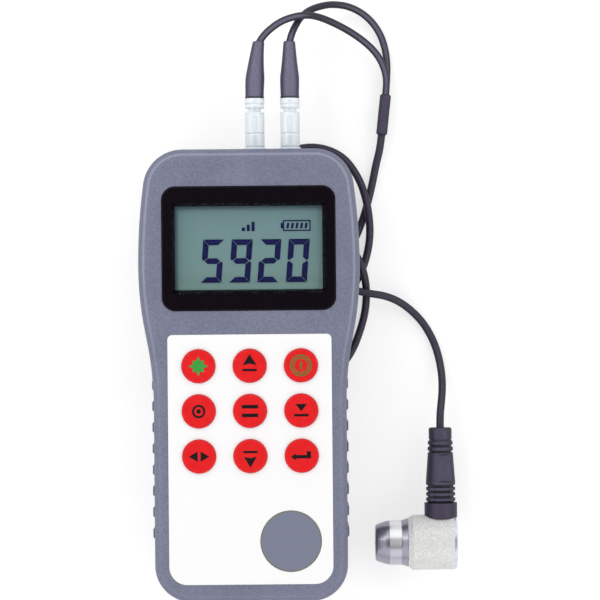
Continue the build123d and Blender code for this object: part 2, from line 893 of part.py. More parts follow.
def lead(name, points, diameter):
    """A round lead along straight runs that tangent arcs join."""
    radii = corner_radii(points)
    path = FilletPolyline(*points, radius=radii)
    start = Plane(origin=points[0], z_dir=Vector(*points[1]) - Vector(*points[0]))
    tube = sweep(start * Circle(diameter / 2), path=path)
    expected = math.pi * diameter**2 / 4 * path.length
    print(f"{name}: length {path.length:.1f}, volume ratio {tube.volume / expected:.4f}")
    print("  radii " + ", ".join(f"{r:.1f}" for r in radii))
    print("  runs " + ", ".join(f"{r:.1f}" for r in run_lengths(points)))
    return tube


# The leads' routes: each list is the run of points that the lead's straight stretches join.
boot_slope = 2 * boot_left_lean / boot_length
left_tip = (socket_left_x + boot_left_lean, boot_y()[1], plug_z)
right_tip = (socket_right_x, boot_y()[1], plug_z)
sleeve_top = (46.3, 135.3)
sleeve_turn = math.radians(sleeve_lean)
sleeve_way = (math.sin(sleeve_turn), math.cos(sleeve_turn))
sleeve_foot = tuple(top - sleeve_length * way for top, way in zip(sleeve_top, sleeve_way))
left_branch_route = [
    left_tip,
    (left_tip[0] + 3.3 * boot_slope, left_tip[1] + 3.3, plug_z),
    (5.75, 158.7, 19.1),
    (8.4, 161.0, 19.3),
    (12.6, 162.2, 19.4),
    (17.8, 161.9, 18.4),
    (23.8, 160.7, 15.2),
    (30.0, 158.4, 11.4),
    (35.8, 155.4, 8.2),
    (40.6, 151.9, 6.2),
    (43.9, 148.3, 5.1),
    (45.9, 144.2, 4.5),
    (sleeve_top[0] + 4.5 * sleeve_way[0], sleeve_top[1] + 4.5 * sleeve_way[1], 4.3),
    (sleeve_top[0], sleeve_top[1], 4.3),
]
right_branch_route = [
    right_tip,
    (right_tip[0], right_tip[1] + 3.3, plug_z),
    (14.3, 158.6, 18.1),
    (15.6, 161.4, 16.1),
    (18.4, 163.9, 13.3),
    (23.4, 165.6, 10.0),
    (29.0, 166.4, 7.0),
    (34.9, 165.2, 4.2),
    (40.4, 161.9, 2.5),
    (44.6, 156.6, 1.7),
    (46.7, 149.9, 1.4),
    (sleeve_top[0] + 7.0 * sleeve_way[0], sleeve_top[1] + 7.0 * sleeve_way[1], 1.55),
    (sleeve_top[0], sleeve_top[1], 1.55),
]
upper_lead_route = [
    (sleeve_foot[0], sleeve_foot[1], 2.95),
    (sleeve_foot[0] - 4.5 * sleeve_way[0], sleeve_foot[1] - 4.5 * sleeve_way[1], 2.95),
    (42.8, 111.6, 1.7),
    (41.6, 105.4, 1.45),
    (40.1, 99.4, 1.45),
]
lower_lead_route = [
    (40.6, 68.0, 4.15),
    (45.0, 67.4, 3.9),
    (49.8, 65.6, 3.0),
    (54.4, 62.3, 1.9),
    (58.6, 57.8, 1.5),
    (61.8, 52.0, 1.5),
    (63.5, 46.6, 2.0),
    (64.4, 41.2, 3.4),
    (64.5, 36.2, 5.7),
    (64.0, 31.5, 7.9),
    (probe_boot_x, probe_boot_end + 4.2, probe_z),
    (probe_boot_x, probe_boot_end, probe_z),
]


def splice_sleeve():
    """The flat oval sleeve where the two branches join the single lead."""
    top = Vector(sleeve_top[0], sleeve_top[1], sleeve_height / 2)
    foot = Vector(sleeve_foot[0], sleeve_foot[1], sleeve_height / 2)
    end = Plane(origin=foot, x_dir=(math.cos(sleeve_turn), -math.sin(sleeve_turn), 0), z_dir=top - foot)
    sketch = RectangleRounded(sleeve_width, sleeve_height, sleeve_width / 2 - 0.01)
    body = extrude(end * sketch, amount=(top - foot).length)
    rims = body.faces().sort_by(Axis.Y)
    return chamfer(rims[0].edges() + rims[-1].edges(), 0.4)


def lead_coil():
    """The loose loops of lead that lie behind the head, as one flat band."""
    loops = [
        ((14.6, 92.6), 25.6, 25.6),
        ((13.6, 70.4), 25.3, 25.6),
        ((13.2, 55.2), 22.6, 14.8),
    ]
    band = Sketch()
    for centre, half_x, half_y in loops:
        outer = Ellipse(half_x + coil_band / 2, half_y + coil_band / 2)
        inner = Ellipse(half_x - coil_band / 2, half_y - coil_band / 2)
        band += Pos(*centre) * (outer - inner)
    return extrude(band, amount=coil_height)


def probe_nose():
    """The hardened nose of the probe, bored for the two delay blocks."""
    x0 = probe_x
    face = probe_face_diameter / 2
    nose = probe_nose_diameter / 2
    body = probe_body_diameter / 2
    profile = [
        (x0, face - 0.5),
        (x0 + 0.5, face),
        (x0 + probe_cone_length, nose - 0.15),
        (x0 + probe_cone_length + 0.3, nose),
        (x0 + probe_nose_length - 2.2, nose),
        (x0 + probe_nose_length, body - probe_body_chamfer + 0.6),
    ]
    solid = turned_x(profile, probe_y, probe_z)
    bore = Pos(x0 + 5, probe_y, probe_z) * Rot(0, 90, 0) * Cylinder(probe_bore_diameter / 2, 14)
    return solid - bore


def probe_body():
    """The probe's light metal body, with a seat for the lead's gland."""
    x0 = probe_x + probe_nose_length
    radius = probe_body_diameter / 2
    profile = [
        (x0, radius - probe_body_chamfer + 0.6),
        (x0 + probe_body_chamfer, radius),
        (x0 + probe_body_length, radius),
    ]
    solid = turned_x(profile, probe_y, probe_z)
    cavity_length = probe_body_length - 2.0
    middle = Pos(x0 + cavity_length / 2, probe_y, probe_z)
    cavity = middle * Rot(0, 90, 0) * Cylinder(radius - probe_wall, cavity_length)
    return solid - cavity - gland_seat()


def gland_seat():
    """The round seat that the gland nut sinks into, across the body and the edge of its cap."""
    y0 = probe_y + probe_z - probe_gland_seat
    return rod_y(probe_boot_x, probe_z, y0, y0 + probe_gland_length, probe_gland_diameter)


def probe_cap():
    """The thin cap that closes the back of the probe."""
    x0 = probe_x + probe_nose_length + probe_body_length
    radius = probe_body_diameter / 2 - 0.2
    profile = [(x0, radius), (x0 + probe_cap_length - 0.3, radius), (x0 + probe_cap_length, radius - 0.3)]
    cap = turned_x(profile, probe_y, probe_z)
    return cap - gland_seat()


def half_rods(x0, x1, diameter, gap):
    """Two half cylinders along X, one each side of the barrier."""
    halves = []
    for way in (-1, 1):
        bar = Pos((x0 + x1) / 2, probe_y, probe_z) * Rot(0, 90, 0) * Cylinder(diameter / 2, x1 - x0)
        keep = box(x0 - 1, x1 + 1, probe_y + way * gap / 2, probe_y + way * 20, 0, 40)
        halves.append(bar & keep)
    return halves


def probe_barrier():
    """The sound barrier between the sending half and the receiving half."""
    middle = Pos(probe_x + delay_length / 2, probe_y, probe_z)
    bar = middle * Rot(0, 90, 0) * Cylinder(probe_bore_diameter / 2 - 0.02, delay_length)
    half = barrier_thickness / 2
    return bar & box(probe_x - 1, probe_x + 30, probe_y - half, probe_y + half, 0, 40)


def probe_gland():
    """The gland nut at the foot of the probe's boot, seated in the body."""
    y0 = probe_y + probe_z - probe_gland_seat
    y1 = probe_boot_foot
    collar_end = y0 + probe_gland_collar
    half = probe_gland_across_flats / 2
    nut = rod_y(probe_boot_x, probe_z, y0, y1, probe_gland_diameter - 0.02)
    for side in (-1, 1):
        z0 = probe_z + side * half
        reach = probe_gland_diameter
        nut -= box(probe_boot_x - reach, probe_boot_x + reach, collar_end, y1 + 1, z0, z0 + side * reach)
    return nut


def probe_boot():
    """The ribbed rubber boot of the probe's lead."""
    y0 = probe_boot_foot
    groove = 0.45
    profile = [(y0, 4.7)]
    y = y0 + 0.4
    for ring in range(3):
        profile += [(y, 4.95 - groove), (y + 0.6, 4.95 - groove), (y + 0.8, 4.85), (y + 1.7, 4.85)]
        y += 2.1
    profile += [(y, 5.0), (y + 10.4, 4.35)]
    y += 10.6
    for ring in range(2):
        profile += [(y, 3.8), (y + 0.6, 3.8), (y + 0.8, 4.15), (y + 1.9, 4.1)]
        y += 2.4
    tip = probe_boot_tip_diameter / 2
    profile += [(y + 0.2, tip), (probe_boot_end, tip)]
    return turned_y(profile, probe_boot_x, probe_z)


def build():
    """Every piece by its node's name."""
    nodes = {
        "front_shell": front_shell(),
        "rear_shell": rear_shell(),
        "battery_door": battery_door(),
        "case_screws": Compound(case_screws()),
        "fascia": fascia(),
        "zero_disc": zero_disc(),
        "display_bezel": display_bezel(),
        "display_window": display_window(),
        "lcd_panel": lcd_panel(),
        "lcd_segments": Compound(lcd_segments()),
        "backlight": backlight(),
        "main_board": main_board(),
        "board_chips": Compound(board_parts()),
        "sounder": sounder(),
        "board_screws": Compound(board_screws()),
        "key_switches": Compound(key_switches()),
        "battery_contacts": Compound(battery_contacts()),
        "socket_transmit": socket(socket_left_x),
        "socket_receive": socket(socket_right_x),
        "socket_nuts": Compound(socket_nuts()),
        "plug_pins": Compound(plug_pins()),
    }
    nodes.update(battery_cells())
    for name, x, y in key_places():
        nodes[name] = keycap(x, y)
    for side, x, lean in (("left", socket_left_x, boot_left_lean), ("right", socket_right_x, 0.0)):
        nodes[f"plug_body_{side}"] = plug_body(x)
        nodes[f"release_shell_{side}"] = release_shell(x)
        nodes[f"collet_ring_{side}"] = collet_ring(x)
        nodes[f"plug_boot_{side}"] = plug_boot(x, lean)
    nodes["branch_lead_left"] = lead("branch_lead_left", left_branch_route, branch_diameter)
    nodes["branch_lead_right"] = lead("branch_lead_right", right_branch_route, branch_diameter)
    nodes["splice_sleeve"] = splice_sleeve()
    nodes["lead_upper"] = lead("lead_upper", upper_lead_route, lead_diameter)
    nodes["lead_coil"] = lead_coil()
    nodes["lead_lower"] = lead("lead_lower", lower_lead_route, lead_diameter)
    nodes["probe_boot"] = probe_boot()
    nodes["probe_gland"] = probe_gland()
    nodes["probe_body"] = probe_body()
    nodes["probe_cap"] = probe_cap()
    nodes["probe_nose"] = probe_nose()
    nodes["probe_barrier"] = probe_barrier()
    face_end = probe_x + delay_length
    bore = probe_bore_diameter - 0.04
    nodes["delay_blocks"] = Compound(half_rods(probe_x, face_end, bore, barrier_thickness))
    crystal_end = face_end + crystal_thickness
    nodes["crystals"] = Compound(half_rods(face_end, crystal_end, bore - 1.0, barrier_thickness))
    backing_end = crystal_end + backing_length
    nodes["damping_blocks"] = Compound(half_rods(crystal_end, backing_end, bore - 1.0, barrier_thickness))
    return nodes


os.makedirs("parts", exist_ok=True)
for node_name, shape in build().items():
    export_step(shape, f"parts/{node_name}.step")
    print(node_name, round(shape.volume, 1))
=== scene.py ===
# %% [markdown]
# # Dressing a handheld thickness gauge
# The gauge lies on its back with its probe lead plugged in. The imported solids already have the
# right shapes and places, so this notebook gives them finishes, lays the soft leads along smooth
# curves, and makes the few pieces whose fine detail the solids leave out.

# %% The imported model
import json
import math

import bmesh
import bpy
import numpy as np
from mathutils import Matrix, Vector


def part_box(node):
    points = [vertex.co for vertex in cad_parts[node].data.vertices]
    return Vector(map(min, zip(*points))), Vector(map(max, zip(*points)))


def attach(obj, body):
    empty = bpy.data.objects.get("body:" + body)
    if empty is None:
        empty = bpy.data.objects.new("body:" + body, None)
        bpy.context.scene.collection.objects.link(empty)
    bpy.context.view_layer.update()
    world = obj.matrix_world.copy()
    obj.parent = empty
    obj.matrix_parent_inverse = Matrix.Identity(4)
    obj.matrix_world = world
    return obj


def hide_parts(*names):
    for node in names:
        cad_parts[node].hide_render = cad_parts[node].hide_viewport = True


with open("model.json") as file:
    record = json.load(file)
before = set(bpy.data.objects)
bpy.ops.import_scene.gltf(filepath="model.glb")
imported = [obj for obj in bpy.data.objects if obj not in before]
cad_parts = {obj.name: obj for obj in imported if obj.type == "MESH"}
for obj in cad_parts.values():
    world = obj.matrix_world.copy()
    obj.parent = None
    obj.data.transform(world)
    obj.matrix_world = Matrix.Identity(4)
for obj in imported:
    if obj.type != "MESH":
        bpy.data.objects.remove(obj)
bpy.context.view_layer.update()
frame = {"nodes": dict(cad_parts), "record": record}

nodes = frame["nodes"]
MM = 0.001

# %% [markdown]
# ## The view
# The photograph looks straight down on the key face from about 0.9 m, so the long sides stay
# almost parallel. A camera there, with a long lens, gives the same small perspective: the gauge's
# edges lean apart by less than a millimetre.


# %% An object in the scene
def placed(name, data):
    """A new object with this data, at the origin and unturned."""
    piece = bpy.data.objects.new(name, data)
    bpy.context.scene.collection.objects.link(piece)
    return piece


# %% Camera
VIEW_POINT = (16.7, 66.1, 900.0)
VIEW_TURN = -0.009
LENS = 158.96
SENSOR_WIDTH = 36.0

camera_data = bpy.data.cameras.new("view")
camera_data.lens = LENS
camera_data.sensor_width = SENSOR_WIDTH
camera_data.clip_start = 0.01
camera = placed("view", camera_data)
camera.location = [v * MM for v in VIEW_POINT]
camera.rotation_euler = (0.0, 0.0, VIEW_TURN)
bpy.context.scene.camera = camera
bpy.context.scene.view_settings.view_transform = "Standard"
print("camera height", VIEW_POINT[2], "mm")

# %% [markdown]
# ## The leads
# A lead is a fixed length of something limp. It is drawn as one smooth line through a few chosen
# points, a NURBS curve of order 3, and the curve's bevel makes it round. The bevel is one unit deep
# and each point's radius scales it, so the radius is the lead's own. The two thin branches come out
# of their boots, dip to the floor and meet in a sleeve. The single lead then makes three loose turns
# behind the head, where it is wound up out of the way, and comes out again to the probe.


# %% A cord from its route
def laid_cord(name, route, diameter):
    """A round cord along a quadratic NURBS line whose control points are the route, in mm."""
    curve = bpy.data.curves.new(name, "CURVE")
    curve.dimensions = "3D"
    line = curve.splines.new("NURBS")
    line.points.add(len(route) - 1)
    flat = [value for x, y, z in route for value in (x * MM, y * MM, z * MM, 1.0)]
    line.points.foreach_set("co", flat)
    line.points.foreach_set("radius", [diameter / 2 * MM] * len(route))
    line.order_u = 3
    line.use_endpoint_u = True
    line.resolution_u = 8
    curve.bevel_depth = 1.0
    curve.bevel_resolution = 5
    curve.use_fill_caps = True
    return placed(name, curve)


# %% Routes of the branches
BRANCH_DIAMETER = 2.4
LEAD_DIAMETER = 2.6
SLEEVE_TOP = (46.3, 135.3)
SLEEVE_FOOT = (44.81, 121.78)

left_branch_route = [
    (3.3, 150.6, 19.0), (4.4, 152.9, 19.0), (6.1, 154.9, 19.1), (7.9, 156.5, 19.3),
    (10.6, 158.4, 19.6), (14.2, 160.0, 19.4), (19.1, 161.0, 18.5), (23.8, 160.7, 15.2),
    (30.0, 158.4, 11.4), (35.8, 155.4, 8.2), (40.6, 151.9, 6.2), (43.9, 148.3, 5.1),
    (45.9, 144.2, 4.5), (46.79, 139.77, 4.3), (SLEEVE_TOP[0], SLEEVE_TOP[1], 4.3),
]
right_branch_route = [
    (13.7, 150.6, 19.0), (14.2, 152.9, 18.9), (14.9, 155.1, 18.4), (16.0, 157.6, 17.1),
    (17.7, 160.5, 15.3), (20.6, 163.1, 13.1), (24.6, 164.8, 10.3), (29.1, 165.7, 7.4),
    (34.9, 165.0, 4.5), (40.4, 161.9, 2.5), (44.6, 156.6, 1.7), (46.7, 149.9, 1.4),
    (47.07, 142.26, 1.55), (SLEEVE_TOP[0], SLEEVE_TOP[1], 1.55),
]

# %% [markdown]
# The turns behind the head are the same spline's own points, at least twelve to a turn. Where two
# turns cross, the later one rides a diameter higher, so the bundle is two leads thick at most.

# %% Route of the single lead
from_sleeve = [
    (SLEEVE_FOOT[0], SLEEVE_FOOT[1], 2.95), (44.31, 117.31, 2.95), (42.8, 111.6, 1.7), (41.6, 105.4, 1.45),
    (40.1, 99.4, 1.45),
]
first_turn = [
    (38.4, 93.4, 1.42), (35.6, 86.6, 1.42), (31.2, 79.2, 1.42), (25.0, 72.3, 1.42),
    (17.2, 68.0, 1.42), (8.4, 67.6, 1.42), (0.0, 70.7, 1.42), (-6.6, 77.1, 1.42),
    (-10.4, 85.6, 1.42), (-11.0, 94.8, 1.42), (-8.6, 102.4, 1.42), (-3.4, 108.6, 1.42),
    (3.4, 113.0, 1.42), (11.4, 115.8, 1.42), (21.0, 118.6, 1.7), (31.2, 115.4, 3.0),
    (37.0, 107.4, 4.3), (39.6, 99.2, 4.4),
]
second_turn = [
    (40.7, 91.0, 3.6), (40.3, 84.0, 1.6), (38.2, 76.6, 1.42), (34.4, 69.4, 1.42),
    (31.6, 61.6, 1.42), (26.8, 53.8, 1.42), (20.2, 48.6, 1.42), (12.0, 46.6, 1.42),
    (3.6, 48.2, 1.42), (-4.0, 53.0, 1.42), (-9.4, 60.4, 1.42), (-11.9, 69.2, 2.4),
    (-11.4, 78.4, 4.2), (-7.8, 86.6, 4.4), (-1.4, 92.8, 4.2), (7.2, 96.3, 4.2),
    (16.4, 96.8, 4.2), (25.2, 93.6, 4.2), (31.6, 87.6, 4.25), (35.8, 81.4, 4.4),
]
third_turn = [
    (38.1, 76.2, 4.7), (39.2, 70.8, 2.3), (39.2, 65.6, 1.42), (38.5, 60.6, 1.42),
    (36.9, 55.2, 1.42), (34.4, 48.8, 1.42), (30.6, 43.6, 1.42), (24.6, 40.6, 1.42),
    (16.6, 39.6, 1.42), (8.4, 40.4, 2.2), (0.6, 43.4, 3.9), (-5.8, 48.4, 4.35),
    (-9.2, 55.2, 4.35), (-7.4, 62.2, 4.3), (-1.6, 67.2, 4.2), (6.2, 70.1, 4.2),
    (14.6, 71.1, 4.2), (23.2, 70.8, 4.2), (31.4, 69.9, 4.6), (36.4, 68.9, 5.0),
]
to_probe = [
    (40.6, 68.0, 4.9), (45.0, 67.4, 4.1), (49.8, 65.6, 3.0), (54.4, 62.3, 1.9),
    (58.6, 57.8, 1.5), (61.8, 52.0, 1.5), (63.5, 46.6, 2.0), (64.4, 41.2, 3.4),
    (64.5, 36.2, 5.7), (64.0, 31.5, 7.9), (63.4, 27.0, 9.2), (63.4, 22.8, 9.2),
]

# %% Laying the three cords
lead_route = from_sleeve + first_turn + second_turn + third_turn + to_probe
left_branch = laid_cord("left_branch", left_branch_route, BRANCH_DIAMETER)
right_branch = laid_cord("right_branch", right_branch_route, BRANCH_DIAMETER)
probe_lead = laid_cord("probe_lead", lead_route, LEAD_DIAMETER)
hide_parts("branch_lead_left")
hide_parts("branch_lead_right")
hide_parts("lead_upper", "lead_coil", "lead_lower")
for cord_piece in (left_branch, right_branch, probe_lead):
    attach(cord_piece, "probe_lead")
print("points on the single lead:", len(lead_route))

# %% [markdown]
# ## Surfaces from formulas
# Nearly every new piece is a grid of points that numpy works out at once, of one of two kinds: a
# profile turned about an axis, whose radius may also swell and dip round the turn, or a flat patch
# that is lifted to lie on a key. The grid's quads then become a mesh.


# %% A mesh from a grid of points
def grid_piece(name, points, wrap_rows=False, wrap_columns=True):
    """A mesh whose vertices are points[row, column], in mm, with a quad between each four."""
    rows, columns = points.shape[:2]
    last_row = rows if wrap_rows else rows - 1
    last_column = columns if wrap_columns else columns - 1
    i, j = np.meshgrid(np.arange(last_row), np.arange(last_column), indexing="ij")
    near, far = i * columns, (i + 1) % rows * columns
    left, right = j, (j + 1) % columns
    quads = np.stack([near + left, far + left, far + right, near + right], axis=-1).reshape(-1, 4)
    mesh = bpy.data.meshes.new(name)
    mesh.from_pydata((points.reshape(-1, 3) * MM).tolist(), [], quads.tolist())
    closed_mesh(mesh)
    mesh.polygons.foreach_set("use_smooth", np.ones(len(mesh.polygons), dtype=bool))
    return placed(name, mesh)


def closed_mesh(mesh):
    """Merges the points that fall together at poles, and turns every face outwards."""
    work = bmesh.new()
    work.from_mesh(mesh)
    bmesh.ops.remove_doubles(work, verts=work.verts, dist=1e-7)
    bmesh.ops.dissolve_degenerate(work, dist=1e-8, edges=work.edges)
    bmesh.ops.recalc_face_normals(work, faces=work.faces)
    work.to_mesh(mesh)
    work.free()


# %% A turned piece
def fine_profile(stations, step):
    """Points along straight lines between (along, radius) stations, at most a step apart."""
    stations = np.array(stations, dtype=float)
    parts = []
    for start, end in zip(stations[:-1], stations[1:]):
        count = max(1, int(np.ceil(np.linalg.norm(end - start) / step)))
        parts.append(start + (end - start) * np.linspace(0, 1, count, endpoint=False)[:, None])
    return np.vstack(parts + [stations[-1:]])


def turned_piece(name, profile, axis, place, columns, swell=None, wrap=False, lean=None):
    """A profile of (along, radius) turned about the x, y or z axis through a place.

    The point at angle a lies radius * (cos a, sin a) off the axis. swell(along, angle) is added
    to the radius, lean(along) shifts the axis sideways, and wrap joins the profile's two ends.
    """
    along, radius = np.asarray(profile, dtype=float).T
    angle = np.linspace(0, 2 * np.pi, columns, endpoint=False)
    grid_along, grid_angle = np.meshgrid(along, angle, indexing="ij")
    grid_radius = np.repeat(radius[:, None], columns, axis=1)
    if swell is not None:
        grid_radius = grid_radius + np.where(grid_radius > 0, swell(grid_along, grid_angle), 0)
    across = grid_radius * np.cos(grid_angle)
    up = grid_radius * np.sin(grid_angle)
    if lean is not None:
        across = across + lean(grid_along)
    order = {"x": [2, 0, 1], "y": [0, 2, 1], "z": [0, 1, 2]}[axis]
    parts = [place[0] + across, place[1] + up, grid_along]
    points = np.stack([parts[index] for index in order], axis=-1)
    return grid_piece(name, points, wrap_rows=wrap)


def smooth_step(value, start, end):
    """0 before start, 1 after end, and an even S curve between."""
    share = np.clip((value - start) / (end - start), 0, 1)
    return share * share * (3 - 2 * share)


# %% [markdown]
# ## The plugs
# Each plug has a bright release shell with shallow flutes, a two step ring behind it, and a boot
# that swells and then tapers to the lead. The solids carry the plain forms. These pieces take
# their place and add the flutes, the steps and the boot's soft lip. Their places are read from the
# solids' boxes, so they stay where the solids are.


# %% Sizes read from the solids
def in_mm(box):
    """A box's low and high corner, in mm."""
    return [np.array(corner) / MM for corner in box]


plugs = {}
for side in ("left", "right"):
    low, high = in_mm(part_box(f"release_shell_{side}"))
    ring_low, ring_high = in_mm(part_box(f"collet_ring_{side}"))
    plugs[side] = {
        "axis": ((low[0] + high[0]) / 2, (low[2] + high[2]) / 2),
        "shell": (low[1], high[1]),
        "ring": (ring_low[1], ring_high[1]),
    }
    print(side, {key: np.round(value, 2).tolist() for key, value in plugs[side].items()})

# %% Release shells
SHELL_RADIUS = 3.2
BORE_RADIUS = 2.13
BEVEL = 0.3
GROOVE_UP = 4.2
GROOVE_DEPTH = 0.16
RIM_LINE_DEPTH = 0.12
FLUTE_COUNT = 20
FLUTE_DEPTH = 0.07
FLUTE_FADE = 0.6

shells, rings, boots = {}, {}, {}
for side, plug in plugs.items():
    y0, y1 = plug["shell"]
    groove = y0 + GROOVE_UP
    stations = [
        (y0, BORE_RADIUS),
        (y0, SHELL_RADIUS - BEVEL),
        (y0 + BEVEL, SHELL_RADIUS),
        (groove - 0.15, SHELL_RADIUS),
        (groove, SHELL_RADIUS - GROOVE_DEPTH),
        (groove + 0.3, SHELL_RADIUS - GROOVE_DEPTH),
        (groove + 0.45, SHELL_RADIUS),
        (y1 - 0.9, SHELL_RADIUS),
        (y1 - 0.8, SHELL_RADIUS - RIM_LINE_DEPTH),
        (y1 - 0.6, SHELL_RADIUS - RIM_LINE_DEPTH),
        (y1 - 0.5, SHELL_RADIUS),
        (y1 - 0.25, SHELL_RADIUS - 0.02),
        (y1, SHELL_RADIUS - BEVEL),
        (y1, BORE_RADIUS),
    ]

    def flutes(along, angle, start=groove + 0.9, end=y1 - 1.3):
        """Shallow flutes, a cosine round the shell, that fade in and out along its upper part."""
        fade_in = smooth_step(along, start, start + FLUTE_FADE)
        fade = fade_in * (1 - smooth_step(along, end - FLUTE_FADE, end))
        return -FLUTE_DEPTH * fade * (0.5 - 0.5 * np.cos(FLUTE_COUNT * angle))

    profile = fine_profile(stations, 0.25)
    shell = turned_piece(f"fluted_shell_{side}", profile, "y", plug["axis"], 160, flutes, wrap=True)
    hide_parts(f"release_shell_{side}")
    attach(shell, f"release_shell_{side}_body")
    shells[side] = shell

# %% Collet rings
RING_RADIUS = 3.25
RING_BORE = 2.0
LOWER_STEP = RING_RADIUS - 0.08
GAP_RADIUS = RING_RADIUS - 0.3

for side, plug in plugs.items():
    y0, y1 = plug["ring"]
    stations = [
        (y0, RING_BORE),
        (y0, GAP_RADIUS),
        (y0 + 0.2, LOWER_STEP),
        (y0 + 1.1, LOWER_STEP),
        (y0 + 1.25, GAP_RADIUS),
        (y0 + 1.45, GAP_RADIUS),
        (y0 + 1.6, RING_RADIUS),
        (y1 - 0.2, RING_RADIUS),
        (y1, RING_RADIUS - 0.15),
        (y1, RING_BORE),
    ]
    profile = fine_profile(stations, 0.25)
    ring = turned_piece(f"ring_nut_{side}", profile, "y", plug["axis"], 96, wrap=True)
    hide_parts(f"collet_ring_{side}")
    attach(ring, "probe_lead")
    rings[side] = ring

# %% [markdown]
# A boot is moulded rubber. Its lip at the foot is a little proud, the belly swells, and the tip
# ends in a rounded rim where the lead comes out. The left boot is bent over by its lead, so its
# middle line leans by the square of the distance from the foot.

# %% Plug boots
BOOT_LEAN = {"left": 1.5, "right": 0.0}
BOOT_LENGTH = 19.0
BOOT_PROFILE = [
    (0.0, 0.0), (0.0, 3.02), (0.2, 3.16), (0.6, 3.16), (0.8, 3.06), (2.6, 3.1), (4.6, 3.16), (6.2, 3.18),
    (7.4, 3.12), (8.6, 2.98), (10.2, 2.78), (12.4, 2.54), (14.8, 2.3), (17.2, 2.08), (18.4, 1.98),
    (18.8, 1.9), (19.0, 1.72), (19.0, 0.0),
]
for side, plug in plugs.items():
    y0 = plug["ring"][1]

    def bent_over(along, start=y0, tip_lean=BOOT_LEAN[side]):
        """The sideways shift grows with the square of the distance from the foot."""
        return tip_lean * (np.clip(along - start, 0, None) / BOOT_LENGTH) ** 2

    profile = fine_profile(BOOT_PROFILE, 0.4) + (y0, 0.0)
    boot = turned_piece(f"plug_sleeve_{side}", profile, "y", plug["axis"], 72, lean=bent_over)
    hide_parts(f"plug_boot_{side}")
    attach(boot, "probe_lead")
    boots[side] = boot

# %% [markdown]
# ## The probe's boot
# Grooves are cut round its foot and near its tip, so that the boot bends evenly. Four posts bridge
# the foot's grooves. The long waist between has a flat on its front and back, turned a little to
# one side. How deep each point lies under the ribs is kept with the mesh, for the finish to use.

# %% Ribbed boot
boot_low, boot_high = in_mm(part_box("probe_boot"))
boot_x, _, boot_z = (boot_low + boot_high) / 2
boot_foot = boot_low[1]
RIB_STATIONS = [
    (0.0, 0.0), (0.0, 4.35), (0.4, 4.4), (0.65, 4.85), (1.1, 5.0), (1.6, 4.9), (1.85, 4.35), (2.2, 4.35),
    (2.45, 4.85), (2.9, 4.95), (3.4, 4.85), (3.65, 4.3), (4.0, 4.3), (4.25, 4.85), (4.7, 4.95),
    (5.2, 4.85), (5.45, 4.3), (5.8, 4.3), (6.05, 4.85), (6.6, 4.95), (7.4, 4.9), (16.4, 4.25),
    (16.8, 4.2), (17.0, 3.75), (17.35, 3.75), (17.6, 4.25), (18.2, 4.3), (18.7, 4.2), (18.95, 3.7),
    (19.3, 3.7), (19.55, 4.15), (20.2, 4.2), (20.7, 4.1), (20.95, 3.7), (21.25, 3.7), (21.5, 3.86),
    (24.6, 3.86), (25.0, 3.75), (25.2, 3.5), (25.2, 0.0),
]
RIB_TOPS = np.array([(0.0, 4.95), (7.4, 4.9), (16.4, 4.25), (20.2, 4.2), (21.5, 3.86), (25.2, 3.86)])
WAIST = (6.9, 16.6)
WAIST_FADE = 0.7
FLAT_TURN = math.radians(75)
FLAT_SHARE = 0.8
POST_START = 0.94
POST_RISE = 8.0
RIB_DEPTH = 0.5


def boot_section(along, angle):
    """Cuts the waist to two flats, and fills the foot's grooves at four posts.

    A flat's radius is its share of the full one, divided by the cosine of the angle from the flat's
    middle. A post rises where the sine of twice the angle is near one.
    """
    up = along - boot_foot
    waist = smooth_step(up, WAIST[0], WAIST[0] + WAIST_FADE)
    waist = waist * (1 - smooth_step(up, WAIST[1] - WAIST_FADE, WAIST[1]))
    radius = np.interp(up, RIB_TOPS[:, 0], RIB_TOPS[:, 1])
    facing = np.maximum(np.abs(np.cos(angle - FLAT_TURN)), FLAT_SHARE)
    posts = np.clip(np.abs(np.sin(2 * angle)) - POST_START, 0, None) * POST_RISE
    foot_part = smooth_step(up, 0.3, 0.7) * (1 - smooth_step(up, 5.8, 6.1))
    return radius * (FLAT_SHARE / facing - 1) * waist + posts * foot_part


profile = fine_profile(RIB_STATIONS, 0.3) + (boot_foot, 0.0)
ribbed_boot = turned_piece("ribbed_boot", profile, "y", (boot_x, boot_z), 128, boot_section)
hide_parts("probe_boot")
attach(ribbed_boot, "probe_lead")
print("ribbed boot from", round(boot_foot, 1), "to", round(boot_high[1], 1), "mm")

# %% How deep in a groove
corners = np.empty(len(ribbed_boot.data.vertices) * 3)
ribbed_boot.data.vertices.foreach_get("co", corners)
x, y, z = (corners.reshape(-1, 3) / MM).T
up = y - boot_foot
under_tops = np.interp(up, RIB_TOPS[:, 0], RIB_TOPS[:, 1]) - np.hypot(x - boot_x, z - boot_z)
depth_share = np.where((up > WAIST[0]) & (up < WAIST[1]), 0.0, np.clip(under_tops / RIB_DEPTH, 0, 1))
groove_depth = ribbed_boot.data.attributes.new("groove", "FLOAT", "POINT")
groove_depth.data.foreach_set("value", depth_share)
print("points in a groove:", int((depth_share > 0.5).sum()), "of", len(depth_share))

# %% [markdown]
# ## The probe's nose
# The solid's cone is straight. Grinding has left the real one slightly rounded, fullest near the
# face, and it runs into the band without a step.

